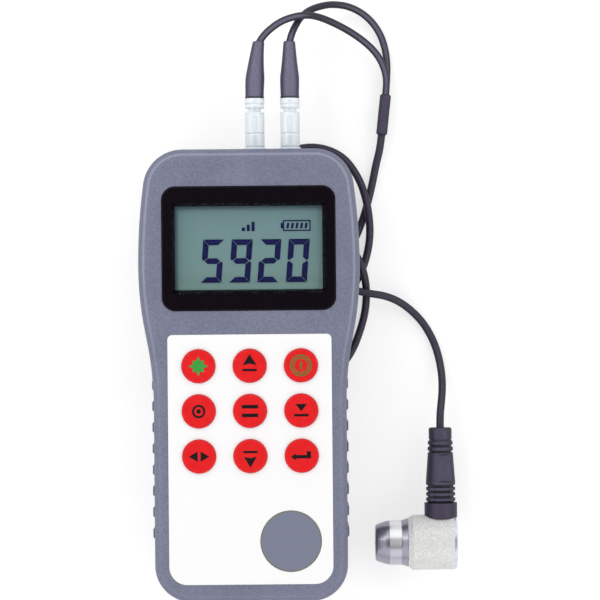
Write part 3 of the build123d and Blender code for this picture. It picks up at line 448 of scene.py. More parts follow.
# %% Ground nose
nose_low, nose_high = in_mm(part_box("probe_nose"))
face_x = nose_low[0]
_, nose_y, nose_z = (nose_low + nose_high) / 2
NOSE_STATIONS = [
    (0.0, 4.8), (0.0, 5.5), (0.2, 5.95), (0.6, 6.2), (1.5, 6.55), (2.5, 6.9), (3.5, 7.2), (4.6, 7.42),
    (5.6, 7.5), (8.8, 7.5), (11.0, 8.2), (11.0, 4.8),
]
profile = fine_profile(NOSE_STATIONS, 0.3) + (face_x, 0.0)
ground_nose = turned_piece("ground_nose", profile, "x", (nose_y, nose_z), 128, wrap=True)
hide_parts("probe_nose")
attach(ground_nose, "probe_lead")

# %% [markdown]
# ## Shader sums
# A procedural finish is arithmetic on patterns. One small class stands for a node's output, so
# that sums are written as sums, and one method makes any other node. Numbers that are the same
# all over the surface are set on the shader's own sockets.


# %% Sockets that add up
TO_MM = 1 / MM


class Wire:
    """A value that runs between nodes, with Python's operators."""

    def __init__(self, finish, socket):
        self.finish = finish
        self.socket = socket

    def sum(self, operation, *values):
        return self.finish.node("ShaderNodeMath", {"operation": operation}, values)

    def __add__(self, other):
        return self.sum("ADD", self, other)

    def __radd__(self, other):
        return self.sum("ADD", other, self)

    def __sub__(self, other):
        return self.sum("SUBTRACT", self, other)

    def __rsub__(self, other):
        return self.sum("SUBTRACT", other, self)

    def __mul__(self, other):
        return self.sum("MULTIPLY", self, other)

    def __rmul__(self, other):
        return self.sum("MULTIPLY", other, self)

    def above(self, edge, soft):
        """0 below the edge and 1 above it, with a soft step between."""
        return self.finish.node(
            "ShaderNodeMapRange",
            {"interpolation_type": "SMOOTHSTEP"},
            [self, edge - soft / 2, edge + soft / 2, 0.0, 1.0],
        )


class Finish:
    """One material and the nodes in it."""

    def __init__(self, name, **sockets):
        self.name = name
        self.material = bpy.data.materials.new(name)
        self.material.use_nodes = True
        self.tree = self.material.node_tree
        self.shader = self.tree.nodes["Principled BSDF"]
        for socket, value in sockets.items():
            self.give(socket.replace("_", " "), value)

    def node(self, kind, settings=None, inputs=(), output=0):
        """Makes a node, sets it, then feeds its inputs: a list in order, or a dict by name or place."""
        made = self.tree.nodes.new(kind)
        for key, value in (settings or {}).items():
            if key == "stops":
                for index, (place, colour) in enumerate(value):
                    stops = made.color_ramp.elements
                    stop = stops[index] if index < len(stops) else stops.new(place)
                    stop.position = place
                    stop.color = colour
            else:
                setattr(made, key, value)
        pairs = inputs.items() if isinstance(inputs, dict) else enumerate(inputs)
        for key, value in pairs:
            self.feed(made.inputs[key], value)
        return Wire(self, made.outputs[output])

    def feed(self, socket, value):
        """A link if the value is a wire, and otherwise a number or colour set on the socket."""
        if isinstance(value, Wire):
            self.tree.links.new(value.socket, socket)
        else:
            socket.default_value = value

    def give(self, socket, value):
        self.feed(self.shader.inputs[socket], value)

    def place(self):
        """The point's own coordinates on the object, in metres."""
        return self.node("ShaderNodeTexCoord", output=3)

    def noise(self, scale, detail=2.0, rough=0.5, at=None):
        """Cloudy noise of about scale blobs to the metre."""
        return self.node(
            "ShaderNodeTexNoise",
            None,
            {"Vector": at or self.place(), "Scale": scale, "Detail": detail, "Roughness": rough},
        )

    def stretched(self, x, y, z):
        """Object coordinates squeezed along some axes, for patterns that run one way."""
        return self.node(
            "ShaderNodeMapping", {"vector_type": "POINT"}, {"Vector": self.place(), "Scale": (x, y, z)}
        )

    def part(self, axis):
        """One axis of the object coordinates, in millimetres."""
        return self.node("ShaderNodeSeparateXYZ", None, [self.place()], output="XYZ".index(axis)) * TO_MM

    def from_axis(self, x, y):
        """The distance in millimetres from an upright axis that stands at x, y, in mm."""
        spread = {"Vector": self.place(), "Location": (-x * MM, -y * MM, 0.0), "Scale": (1.0, 1.0, 0.0)}
        flat = self.node("ShaderNodeMapping", {"vector_type": "POINT"}, spread)
        return self.node("ShaderNodeVectorMath", {"operation": "LENGTH"}, [flat], output=1) * TO_MM

    def edge_on(self):
        """0 where the surface faces the eye, 1 where it turns away."""
        return self.node("ShaderNodeLayerWeight", None, {"Blend": 0.5}, output=1)

    def attribute(self, name):
        """A number that the mesh keeps for each point."""
        return self.node("ShaderNodeAttribute", {"attribute_name": name}, output=2)

    def blend(self, factor, first, second):
        """A colour between two, by a factor."""
        ends = {0: factor, 6: first, 7: second}
        return self.node("ShaderNodeMix", {"data_type": "RGBA"}, ends, output=2)

    def relief(self, height, strength, depth_mm):
        """A bump from a height pattern, whose full height is depth_mm."""
        inputs = {"Strength": strength, "Distance": depth_mm * MM, "Height": height}
        return self.node("ShaderNodeBump", None, inputs)


def tone(red, green, blue):
    """A screen colour of 0 to 255 as the linear colour that a shader takes."""
    screen = np.array([red, green, blue]) / 255.0
    linear = np.where(screen <= 0.04045, screen / 12.92, ((screen + 0.055) / 1.055) ** 2.4)
    return (*linear.tolist(), 1.0)


# %% [markdown]
# ## Moulded plastic and rubber
# The case is spark eroded in the mould: a fine grain, a little uneven in gloss, over a grey blue.
# A painted highlight runs along its rounded edge as a paler line, most of all round the head.
# The boots and leads are softer rubber. Their colour is painted darker where they turn away from
# the eye, a painted shade. The two branches are thinner, and a painted highlight makes them paler.


# %% Grained mouldings
def moulding(name, dark, light, grain_scale, grain_depth, gloss, far=None, turn=(0.22, 0.42)):
    """A moulded skin: two close tones in soft clouds, with grain that roughens and lifts it.

    The far tone is a painted shade: the colour passes to it where the surface has turned away
    by about the turn.
    """
    finish = Finish(name)
    clouds = finish.noise(70.0, 3.0, 0.55)
    grain = finish.noise(grain_scale, 4.0, 0.7)
    mottle = (clouds * 0.2 + grain * 0.8).above(0.5, 0.34)
    base = finish.blend(mottle, dark, light)
    if far is not None:
        base = finish.blend(finish.edge_on().above(*turn), base, far)
    finish.base = base
    finish.give("Base Color", base)
    finish.give("Roughness", gloss + (grain - 0.5) * 0.12)
    finish.give("Normal", finish.relief(grain, 0.45, grain_depth))
    return finish


def edge_highlight(finish, pale, amount):
    """A painted highlight: a paler line where the surface begins to turn from the top to the side."""
    normal = finish.node("ShaderNodeNewGeometry", output=1)
    up = finish.node("ShaderNodeSeparateXYZ", None, [normal], output=2)
    line = up.above(0.76, 0.1) * (1.0 - up.above(0.89, 0.08))
    head = finish.part("Y").above(52.0, 50.0)
    finish.give("Base Color", finish.blend(line * (0.2 + head * 0.8) * amount, finish.base, pale))


case_finish = moulding("case_plastic", tone(104, 107, 128), tone(128, 131, 153), 1700.0, 0.07, 0.56)
# Painted highlight: a paler line along the case's rounded edge.
edge_highlight(case_finish, tone(180, 186, 204), 0.36)
door_finish = moulding("door_plastic", tone(104, 107, 128), tone(126, 129, 151), 1700.0, 0.07, 0.58)
# Each far tone below is a painted shade where the surface turns away from the eye.
boot_finish = moulding(
    "boot_rubber", tone(98, 97, 119), tone(116, 115, 137), 1500.0, 0.04, 0.55, far=tone(62, 54, 80)
)
# Painted shadow: a dark band round the foot of each plug boot, where it meets the ring.
from_foot = boot_finish.part("Y") - plugs["left"]["ring"][1]
boot_foot_shadow = 1.0 - from_foot.above(0.65, 0.3)
boot_finish.give("Base Color", boot_finish.blend(boot_foot_shadow * 0.8, boot_finish.base, tone(40, 28, 62)))
sleeve_finish = moulding(
    "sleeve_rubber", tone(60, 50, 72), tone(77, 68, 91), 1500.0, 0.04, 0.6, far=tone(44, 32, 56)
)
# Painted shade on the leads: the far tone where they turn away from the eye.
lead_edge_shade = {"far": tone(26, 16, 40), "turn": (0.13, 0.22)}
lead_finish = moulding("lead_rubber", tone(52, 45, 65), tone(66, 58, 79), 1200.0, 0.03, 0.48, **lead_edge_shade)
# Painted highlight: the branches, above y 130 mm, are paler where they face the eye.
branch_highlight = lead_finish.part("Y").above(130.0, 30.0) * (1.0 - lead_finish.edge_on().above(0.1, 0.16))
lead_finish.give("Base Color", lead_finish.blend(branch_highlight * 0.32, lead_finish.base, tone(144, 138, 164)))
gland_finish = moulding(
    "gland_black", tone(54, 46, 68), tone(71, 63, 86), 1800.0, 0.03, 0.55, far=tone(36, 26, 48)
)

# %% [markdown]
# The probe's boot is the same rubber, darker from handling, and its grooves get a painted shade
# that deepens with their depth.

# %% Probe boot finish
probe_boot_finish = moulding(
    "probe_boot_rubber", tone(61, 56, 79), tone(77, 73, 95), 1500.0, 0.04, 0.55, far=tone(34, 24, 48)
)
# Painted shade: the grooves darken by their depth under the ribs.
groove_shade = probe_boot_finish.attribute("groove")
probe_boot_finish.give(
    "Base Color", probe_boot_finish.blend(groove_shade * 0.85, probe_boot_finish.base, tone(30, 24, 40))
)

# %% [markdown]
# ## Keys
# The keys are soft red caps in round holes. Their rims get a painted shade, a deeper red where the
# chamfer turns away, so the finish darkens by the distance from each key's own middle. That distance
# is a formula on object coordinates, and each key gets its own copy with its middle set. The white film
# reaches closer to the keys than the case's holes do, so a thin ring continues it round each key.

# %% Key caps
key_names = [f"key_{row}{column}" for row in (1, 2, 3) for column in (1, 2, 3)]
key_middles = {}
for name in key_names:
    low, high = in_mm(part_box(name))
    key_middles[name] = ((low[0] + high[0]) / 2, (low[1] + high[1]) / 2, high[2])
KEY_RADIUS = 5.7
SKIRT_RADIUS = 5.56
STEM_RADIUS = 1.8
FLANGE_RADIUS = 6.6
FLANGE_DOWN = (4.3, 3.1)
DISH_RADIUS = 8 * KEY_RADIUS
DISH_DEPTH = 0.15


def key_profile(foot, top):
    """Stem, flange, button with a rounded shoulder, and the shallow dish, from below to the top."""
    shoulder = [(top - 0.5, SKIRT_RADIUS), (top - 0.28, 5.48), (top - 0.12, 5.34), (top - 0.03, 5.14)]
    flange_foot, flange_top = [top - down for down in FLANGE_DOWN]
    stations = [(foot, 0.0), (foot, STEM_RADIUS), (flange_foot, STEM_RADIUS)]
    stations += [(flange_foot, FLANGE_RADIUS), (flange_top, FLANGE_RADIUS), (flange_top, SKIRT_RADIUS)]
    stations += shoulder + [(top, 4.9)]
    radius = np.linspace(math.sqrt(2 * DISH_RADIUS * DISH_DEPTH), 0, 12)
    dish = np.stack([top - DISH_DEPTH + radius**2 / (2 * DISH_RADIUS), radius], axis=-1)
    return np.vstack([fine_profile(stations, 0.6), dish])


def key_finish(name, middle):
    """Red rubber, with a painted shade that makes it deeper at the shoulder."""
    finish = Finish(f"{name}_red", Specular_IOR_Level=0.3)
    # Painted shade: the shoulder darkens to a deeper red where it turns away.
    rim = finish.from_axis(middle[0], middle[1]).above(SKIRT_RADIUS - 0.12, 0.4)
    clouds = finish.noise(500.0, 3.0, 0.6)
    face = finish.blend(clouds.above(0.5, 0.5), tone(225, 15, 21), tone(235, 26, 30))
    finish.give("Base Color", finish.blend(rim, face, tone(200, 18, 28)))
    grain = finish.noise(2600.0, 3.0, 0.6)
    finish.give("Roughness", 0.46 + (grain - 0.5) * 0.1)
    finish.give("Normal", finish.relief(grain, 0.25, 0.03))
    return finish


# %% Caps and the film's edge round them
FILM_HOLE = 5.6
FILM_OUTER = 5.9
FILM_BEVEL = 0.03

film_foot, film_top = [corner[2] for corner in in_mm(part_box("fascia"))]
lip = [(film_foot, FILM_OUTER), (film_foot, FILM_HOLE), (film_top - FILM_BEVEL, FILM_HOLE)]
lip += [(film_top, FILM_HOLE + FILM_BEVEL), (film_top, FILM_OUTER)]
key_caps, film_rings = {}, []
for name, middle in key_middles.items():
    profile = key_profile(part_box(name)[0][2] / MM, middle[2])
    cap = turned_piece(f"cap_{name[-2:]}", profile, "z", middle[:2], 72)
    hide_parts(name)
    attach(cap, f"{name}_body")
    key_caps[name] = cap
    ring = turned_piece(f"film_edge_{name[-2:]}", lip, "z", middle[:2], 72, wrap=True)
    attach(ring, "gauge")
    film_rings.append(ring)
print("key caps:", len(key_caps), "film rings:", len(film_rings))

# %% [markdown]
# ## Signs on the keys
# The signs are printed on. Each is a thin patch that follows the key's shallow dish: its outline
# is worked out flat, and every point is then dropped onto the dish.

# %% Patches on a dish
INK = 0.03


def on_dish(middle, x, y):
    """Height of the key's top at an offset from its middle: a sphere's dish, then the flat rim."""
    fall = (x**2 + y**2) / (2 * DISH_RADIUS) - DISH_DEPTH
    return middle[2] + np.minimum(fall, 0.0) + INK


def printed(name, middle, x, y, wrap_columns=False):
    """A patch over the grid of flat offsets x, y, in mm, lying on the dish of a key."""
    points = np.stack([middle[0] + x, middle[1] + y, on_dish(middle, x, y)], axis=-1)
    piece = grid_piece(name, points, wrap_columns=wrap_columns)
    thick = piece.modifiers.new("ink", "SOLIDIFY")
    thick.thickness = INK * MM
    thick.offset = 0.0
    return piece


def bar(x0, y0, x1, y1):
    """An upright rectangle's corners."""
    return [(x0, y0), (x1, y0), (x1, y1), (x0, y1)]


def patch(name, middle, corners, count=10):
    """A four cornered patch: points between two sides, each side between its own two corners."""
    a, b, c, d = [np.array(corner, dtype=float) for corner in corners]
    s = np.linspace(0, 1, count)[:, None, None]
    t = np.linspace(0, 1, count)[None, :, None]
    points = (1 - s) * ((1 - t) * a + t * b) + s * ((1 - t) * d + t * c)
    return printed(name, middle, points[..., 0], points[..., 1])


def ring_patch(name, middle, inner, outer, count=64):
    """A flat ring between two radii."""
    radius = np.linspace(inner, outer, 4)[:, None]
    angle = np.linspace(0, 2 * np.pi, count, endpoint=False)[None, :]
    return printed(name, middle, radius * np.cos(angle), radius * np.sin(angle), wrap_columns=True)


def star_patch(name, middle, body, points):
    """An eight pointed star: straight lines between each point's tip and the notches beside it."""
    turn = np.arange(17) * np.pi / 8 + np.pi / 2
    reach = np.array([points[0], body, points[1], body] * 4 + [points[0]])
    corners = np.stack([reach * np.cos(turn), reach * np.sin(turn)], axis=-1)
    share = np.linspace(0, 1, 5)[:-1][None, :, None]
    rim = (corners[:-1, None] * (1 - share) + corners[1:, None] * share).reshape(-1, 2)
    scale = np.linspace(0, 1, 8)[:, None]
    return printed(name, middle, scale * rim[None, :, 0], scale * rim[None, :, 1], wrap_columns=True)


# %% Printing ink
def ink_finish(name, colour):
    """Printed ink: a little uneven in tone, with the rubber's grain showing through."""
    finish = Finish(name, Specular_IOR_Level=0.25)
    clouds = finish.noise(1400.0, 3.0, 0.6)
    lighter = tuple(min(1.0, value * 1.35 + 0.004) for value in colour[:3]) + (1.0,)
    finish.give("Base Color", finish.blend(clouds.above(0.55, 0.5), colour, lighter))
    finish.give("Roughness", 0.42 + (clouds - 0.5) * 0.15)
    finish.give("Normal", finish.relief(finish.noise(2600.0, 3.0, 0.6), 0.2, 0.02))
    return finish


black_ink = ink_finish("black_ink", tone(14, 8, 10))
green_ink = ink_finish("green_ink", tone(58, 150, 62))
olive_ink = ink_finish("olive_ink", tone(112, 104, 48))

# %% The nine signs
SIGN_PATCHES = [
    ("key_11", green_ink, star_patch, "sign_light", 1.85, (3.3, 2.75)),
    ("key_12", black_ink, patch, "sign_up_left", [(0, 3.8), (0, 3.8), (0, 0.75), (-2.3, 0.2)]),
    ("key_12", black_ink, patch, "sign_up_right", [(0, 3.8), (0, 3.8), (2.3, 0.2), (0, 0.75)]),
    ("key_12", black_ink, patch, "sign_up_bar", bar(-2.4, -1.0, 2.4, -1.75)),
    ("key_13", olive_ink, ring_patch, "sign_power_ring", 2.9, 3.6),
    ("key_13", olive_ink, ring_patch, "sign_power_inner", 2.15, 2.6),
    ("key_13", olive_ink, patch, "sign_power_bar", bar(-0.4, 1.35, 0.4, -1.35)),
    ("key_21", black_ink, ring_patch, "sign_probe_ring", 1.5, 2.2),
    ("key_21", black_ink, ring_patch, "sign_probe_dot", 0.05, 0.75, 32),
    ("key_22", black_ink, patch, "sign_upper_bar", bar(-2.7, 2.0, 2.7, 0.85)),
    ("key_22", black_ink, patch, "sign_lower_bar", bar(-2.7, -0.85, 2.7, -2.0)),
    ("key_23", black_ink, patch, "sign_keep_left", [(-1.9, 2.2), (0, 2.2), (0, -0.2), (0, -0.2)]),
    ("key_23", black_ink, patch, "sign_keep_right", [(0, 2.2), (1.9, 2.2), (0, -0.2), (0, -0.2)]),
    ("key_23", black_ink, patch, "sign_keep_bar", bar(-2.4, -1.1, 2.4, -1.9)),
    ("key_31", black_ink, patch, "sign_swap_left", [(-3.3, 0), (-0.5, 1.7), (-0.5, 0), (-3.3, 0)]),
    ("key_31", black_ink, patch, "sign_swap_left_low", [(-3.3, 0), (-0.5, 0), (-0.5, -1.7), (-3.3, 0)]),
    ("key_31", black_ink, patch, "sign_swap_right", [(0.5, 1.7), (3.3, 0), (3.3, 0), (0.5, 0)]),
    ("key_31", black_ink, patch, "sign_swap_right_low", [(0.5, 0), (3.3, 0), (3.3, 0), (0.5, -1.7)]),
    ("key_32", black_ink, patch, "sign_down_left", [(-2.1, -0.15), (0, -0.65), (0, -3.7), (0, -3.7)]),
    ("key_32", black_ink, patch, "sign_down_right", [(0, -0.65), (2.1, -0.15), (0, -3.7), (0, -3.7)]),
    ("key_32", black_ink, patch, "sign_down_bar", bar(-2.4, 1.75, 2.4, 1.0)),
    ("key_33", black_ink, patch, "sign_enter_head", [(-3.5, -0.3), (-1.9, 0.8), (-1.9, -1.4), (-3.5, -0.3)]),
    ("key_33", black_ink, patch, "sign_enter_shaft", bar(-1.9, 0.25, 1.7, -0.85)),
    ("key_33", black_ink, patch, "sign_enter_post", bar(1.7, 1.5, 3.0, -0.85)),
]
for key, ink, shape, name, *sizes in SIGN_PATCHES:
    piece = shape(name, key_middles[key], *sizes)
    piece.data.materials.append(ink.material)
    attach(piece, f"{key}_body")
print("sign patches:", len(SIGN_PATCHES))

# %% [markdown]
# ## The display
# Behind a clear window lies a grey green glass with dark blue figures. It is lit only by what
# falls through the window, so the frame throws a soft shadow along its upper and left edges, and
# light gathers along its foot.

# %% Display finishes
lcd_finish = Finish("lcd_glass", Roughness=0.35, Specular_IOR_Level=0.2)
lcd_clouds = lcd_finish.noise(28.0, 2.0, 0.5)
window_low, window_high = in_mm(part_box("display_window"))
window_x, window_y, _ = (window_low + window_high) / 2
WINDOW_SIZE = (48.4, 27.8)
above_foot = lcd_finish.part("Y") - (window_y - WINDOW_SIZE[1] / 2)
from_left = lcd_finish.part("X") - (window_x - WINDOW_SIZE[0] / 2)
upper_shade = above_foot.above(WINDOW_SIZE[1] - 1.0, 2.4)
side_shade = from_left.above(0.7, 1.6)
slow = (above_foot * (1.0 / WINDOW_SIZE[1])).above(0.45, 1.0)
foot_light = 1.0 - above_foot.above(1.8, 3.2)
lcd_base = lcd_finish.blend(slow, tone(116, 146, 143), tone(115, 145, 148))
lcd_base = lcd_finish.blend(foot_light * 0.8, lcd_base, tone(138, 172, 166))
lcd_base = lcd_finish.blend(lcd_clouds.above(0.5, 0.8) * 0.25, lcd_base, tone(122, 152, 150))
lcd_base = lcd_finish.blend(upper_shade * 0.6, lcd_base, tone(52, 66, 86))
lcd_finish.give("Base Color", lcd_finish.blend(side_shade, tone(84, 108, 114), lcd_base))

figure_finish = Finish("lcd_dark", Roughness=0.45, Specular_IOR_Level=0.1)
figure_clouds = figure_finish.noise(900.0, 2.0, 0.5)
figure_finish.give(
    "Base Color", figure_finish.blend(figure_clouds.above(0.5, 0.5), tone(18, 20, 66), tone(28, 32, 82))
)

bezel_finish = Finish("bezel_black", Specular_IOR_Level=0.15)
bezel_grain = bezel_finish.noise(1800.0, 3.0, 0.6)
bezel_finish.give("Base Color", bezel_finish.blend(bezel_grain, tone(8, 4, 10), tone(18, 12, 20)))
bezel_finish.give("Roughness", 0.26 + (bezel_grain - 0.5) * 0.12)
bezel_finish.give("Normal", bezel_finish.relief(bezel_grain, 0.1, 0.01))

window_finish = Finish("window_clear", Base_Color=(0.03, 0.035, 0.035, 1.0), IOR=1.49)
window_dust = window_finish.noise(160.0, 5.0, 0.7)
window_finish.give("Alpha", 0.02 + window_dust.above(0.72, 0.2) * 0.02)
window_finish.give("Roughness", 0.03 + window_dust * 0.05)

# %% [markdown]
# The figures are the usual seven bars, cut at 45 degrees where they meet and leaning a little to
# the right. They are printed areas, so they are thin flat prisms on the glass. Over them stand a
# cell symbol and a small level mark of three rising bars.


# %% Flat marks
def flat_marks(name, outlines, base, height):
    """Thin prisms that stand on a level: each outline's corners twice, with quads round the side."""
    vertices, faces = [], []
    for outline in outlines:
        corners = np.array(outline, dtype=float)
        count, start = len(corners), len(vertices)
        for level in (base, base + height):
            vertices += np.column_stack([corners, np.full(count, level)]).tolist()
        ring = np.arange(count) + start
        following = np.roll(ring, -1)
        faces += np.stack([ring, following, following + count, ring + count], axis=-1).tolist()
        faces += [(ring + count).tolist(), ring[::-1].tolist()]
    mesh = bpy.data.meshes.new(name)
    mesh.from_pydata((np.array(vertices) * MM).tolist(), [], faces)
    closed_mesh(mesh)
    return placed(name, mesh)


# %% The figures' bars
FIGURE_SIZE = (6.9, 14.2)
FIGURE_STROKE = 1.86
FIGURE_GAP = 0.11
FIGURE_LEAN = math.tan(math.radians(4.5))
FIRST_FIGURE = (-12.0, 79.1)
FIGURE_PITCH = 9.37

half_wide, half_high = FIGURE_SIZE[0] / 2, FIGURE_SIZE[1] / 2
stroke, gap, mid = FIGURE_STROKE, FIGURE_GAP, FIGURE_STROKE / 2
top_bar = np.array(
    [
        (-half_wide + gap, half_high),
        (half_wide - gap, half_high),
        (half_wide - stroke - gap, half_high - stroke),
        (-half_wide + stroke + gap, half_high - stroke),
    ]
)
side_bar = np.array(
    [
        (-half_wide, half_high - gap),
        (-half_wide, mid * 0.7),
        (-half_wide + mid * 0.55, gap),
        (-half_wide + stroke, mid + gap),
        (-half_wide + stroke, half_high - stroke - gap),
    ]
)
inner_end = half_wide - stroke - gap
middle_bar = np.array(
    [
        (-half_wide + mid, 0.0),
        (-inner_end, mid),
        (inner_end, mid),
        (half_wide - mid, 0.0),
        (inner_end, -mid),
        (-inner_end, -mid),
    ]
)
bars = {
    "a": top_bar,
    "b": side_bar * (-1, 1),
    "c": side_bar * (-1, -1),
    "d": top_bar * (1, -1),
    "e": side_bar * (1, -1),
    "f": side_bar,
    "g": middle_bar,
}
LIT_BARS = {"5": "afgcd", "9": "afgbcd", "2": "abged", "0": "abcdef"}

outlines = []
for index, figure in enumerate("5920"):
    for key in LIT_BARS[figure]:
        leaning = bars[key] + bars[key][:, 1:] * (FIGURE_LEAN, 0.0)
        outlines.append(leaning + (FIRST_FIGURE[0] + index * FIGURE_PITCH, FIRST_FIGURE[1]))

# %% Cell symbol and level mark
CELL_BOX = (11.3, 88.8, 20.4, 92.4)
LINE = 0.4
INSET = 0.9
MARK_FOOT = 88.9
MARK_BARS = ((-2.2, 1.2), (-0.6, 2.1), (1.0, 3.0))
x0, y0, x1, y1 = CELL_BOX
inner_low, inner_high = y0 + INSET, y1 - INSET
outlines += [
    bar(x0, y0, x1, y0 + LINE),
    bar(x0, y1 - LINE, x1, y1),
    bar(x0, y0 + LINE, x0 + LINE, y1 - LINE),
    bar(x1 - LINE, y0 + LINE, x1, y1 - LINE),
    bar(x0 - 0.7, inner_low, x0, inner_high),
]
for x in np.linspace(x0 + 1.1, x1 - 2.0, 5):
    outlines.append([(x, inner_low), (x + 0.75, inner_low), (x + 1.05, inner_high), (x + 0.3, inner_high)])
outlines += [bar(x, MARK_FOOT, x + 1.0, MARK_FOOT + height) for x, height in MARK_BARS]

figures_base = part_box("lcd_panel")[1][2] / MM
figures = flat_marks("figures", outlines, figures_base, 0.12)
figures.data.materials.append(figure_finish.material)
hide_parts("lcd_segments")
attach(figures, "gauge")
print("flat marks:", len(outlines))

# %% [markdown]
# ## The label and the disc
# The label is a white film with a satin face. The disc below the keys is a plate of steel whose
# thickness is known. It is blasted to an even grey, and its bevelled rim has tarnished.

# %% Label and disc
fascia_finish = Finish("fascia_white")
film = fascia_finish.noise(900.0, 3.0, 0.6)
fascia_finish.give("Base Color", fascia_finish.blend(film, tone(250, 250, 249), tone(255, 255, 255)))
fascia_finish.give("Roughness", 0.42 + (film - 0.5) * 0.1)
fascia_finish.give("Normal", fascia_finish.relief(fascia_finish.noise(3200.0, 2.0, 0.5), 0.12, 0.02))

DISC_FACE_RADIUS = 9.68
disc_low, disc_high = in_mm(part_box("zero_disc"))
disc_x, disc_y, _ = (disc_low + disc_high) / 2
disc_finish = Finish("disc_steel", Metallic=0.2)
disc_grain = disc_finish.noise(2600.0, 4.0, 0.65)
disc_rim = disc_finish.from_axis(disc_x, disc_y).above(DISC_FACE_RADIUS, 0.2)
disc_face = disc_finish.blend(disc_grain, tone(120, 125, 144), tone(132, 137, 156))
disc_finish.give("Base Color", disc_finish.blend(disc_rim, disc_face, tone(128, 124, 98)))
disc_finish.give("Roughness", 0.52 + (disc_grain - 0.5) * 0.16)
disc_finish.give("Normal", disc_finish.relief(disc_grain, 0.3, 0.03))

# %% [markdown]
# ## Metals
# Turned and plated parts show fine rings from the lathe. The rings run round the axis, so the
# pattern is noise that changes quickly along the axis and hardly at all across it.


# %% Turned metals
LATHE_RINGS = 9000.0
LATHE_DEPTH = 0.01
LATHE_SQUEEZE = {"X": (1.0, 0.03, 0.03), "Y": (0.03, 1.0, 0.03), "Z": (0.03, 0.03, 1.0)}


def turned_metal(name, dark, light, axis, gloss, metallic=1.0):
    """Metal with fine lathe rings across an axis, brighter and darker by turns."""
    finish = Finish(name, Metallic=metallic)
    lines = finish.noise(LATHE_RINGS, 2.0, 0.5, at=finish.stretched(*LATHE_SQUEEZE[axis]))
    clouds = finish.noise(120.0, 3.0, 0.6)
    finish.base = finish.blend(lines * 0.6 + clouds * 0.4, dark, light)
    finish.give("Base Color", finish.base)
    finish.give("Roughness", gloss + (lines - 0.5) * 0.16)
    finish.give("Normal", finish.relief(lines, 0.25, LATHE_DEPTH))
    return finish


nickel_finish = turned_metal("socket_nickel", tone(236, 246, 251), tone(250, 254, 255), "Y", 0.3, 0.12)
# Painted shade: the nickel darkens where its surface turns away from the eye.
nickel_edge_shade = nickel_finish.edge_on().above(0.72, 0.5)
nickel = nickel_finish.blend(nickel_edge_shade * 0.45, nickel_finish.base, tone(150, 158, 170))
nickel_finish.give("Base Color", nickel)
screw_finish = turned_metal("screw_steel", tone(150, 150, 154), tone(196, 196, 200), "Z", 0.34)
spring_finish = turned_metal("contact_spring", tone(170, 168, 160), tone(210, 208, 200), "Y", 0.3)
gold_finish = turned_metal("pin_gold", tone(196, 150, 60), tone(232, 190, 100), "Y", 0.22)

# %% [markdown]
# The probe's nose is the piece that is pressed on the work. Its cone is ground and darker, the
# band behind it is polished bright, and a narrow neck is dull again. All three come from one
# material whose tone and gloss follow the distance from the face. The band's front half is painted
# greyer, a painted shade on the side away from the light.

# %% Probe nose and body
nose_finish = Finish("probe_steel")
from_face = nose_finish.part("X") - face_x
BAND_START, BAND_END = 4.7, 8.7
band = from_face.above(BAND_START, 0.25) * (1.0 - from_face.above(BAND_END, 0.3))
nose_lines = nose_finish.noise(7000.0, 2.0, 0.5, at=nose_finish.stretched(*LATHE_SQUEEZE["X"]))
dull = nose_finish.blend(nose_lines, tone(132, 130, 144), tone(172, 170, 182))
bright = nose_finish.blend(nose_lines, tone(226, 228, 230), tone(248, 249, 250))
# Painted shade: the bright band's front half, towards -Y, turns greyer.
shaded_front_half = 1.0 - (nose_finish.part("Y") - nose_y).above(-0.4, 1.8)
bright = nose_finish.blend(shaded_front_half * 0.85, bright, tone(176, 176, 187))
nose_finish.give("Base Color", nose_finish.blend(band, dull, bright))
nose_finish.give("Metallic", 0.9 - band * 0.35)
nose_finish.give("Roughness", 0.27 - band * 0.05 + (nose_lines - 0.5) * 0.12)
nose_finish.give("Normal", nose_finish.relief(nose_lines, 0.3, 0.012))

body_finish = Finish("probe_alloy", Metallic=0.15)
blast = body_finish.noise(3000.0, 2.0, 0.6)
body_cloud = body_finish.noise(260.0, 3.0, 0.6)
speckle = (body_cloud * 0.15 + blast * 0.85).above(0.48, 0.36)
body_finish.give("Base Color", body_finish.blend(speckle, tone(198, 200, 195), tone(244, 245, 242)))
body_finish.give("Roughness", 0.5 + (blast - 0.5) * 0.25)
body_finish.give("Normal", body_finish.relief(blast, 0.6, 0.08))

cap_finish = turned_metal("probe_cap_bright", tone(196, 202, 222), tone(230, 235, 246), "X", 0.26, 0.6)

# %% [markdown]
# ## What is inside
# Board, chips, cells and the probe's blocks are hidden at rest, but the door slides off and the
# pieces are used again elsewhere, so each has its own finish.


# %% Inner finishes
def speckled(name, dark, light, scale, gloss):
    """Two tones broken up by noise, for cast and fired pieces."""
    finish = Finish(name)
    grain = finish.noise(scale, 4.0, 0.65)
    finish.give("Base Color", finish.blend(grain.above(0.5, 0.3), dark, light))
    finish.give("Roughness", gloss + (grain - 0.5) * 0.2)
    finish.give("Normal", finish.relief(grain, 0.3, 0.03))
    return finish


board_finish = Finish("board_green", Roughness=0.35)
traces = board_finish.node(
    "ShaderNodeTexBrick",
    {"offset": 0.5, "squash": 1.0},
    {
        "Vector": board_finish.place(),
        "Color1": tone(22, 92, 52),
        "Color2": tone(26, 104, 60),
        "Mortar": tone(46, 130, 78),
        "Scale": 120.0,
        "Mortar Size": 0.06,
    },
)
board_finish.give("Base Color", traces)

CELL_BAND_UP = 38.0
cell_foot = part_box("cell_left")[0][1] / MM
cell_finish = Finish("cell_sleeve", Roughness=0.28)
cell_grain = cell_finish.noise(300.0, 3.0, 0.6)
cell_band = cell_finish.part("Y").above(cell_foot + CELL_BAND_UP, 0.3)
cell_body = cell_finish.blend(cell_grain, tone(44, 46, 52), tone(56, 58, 66))
cell_finish.give("Base Color", cell_finish.blend(cell_band, cell_body, tone(186, 150, 84)))

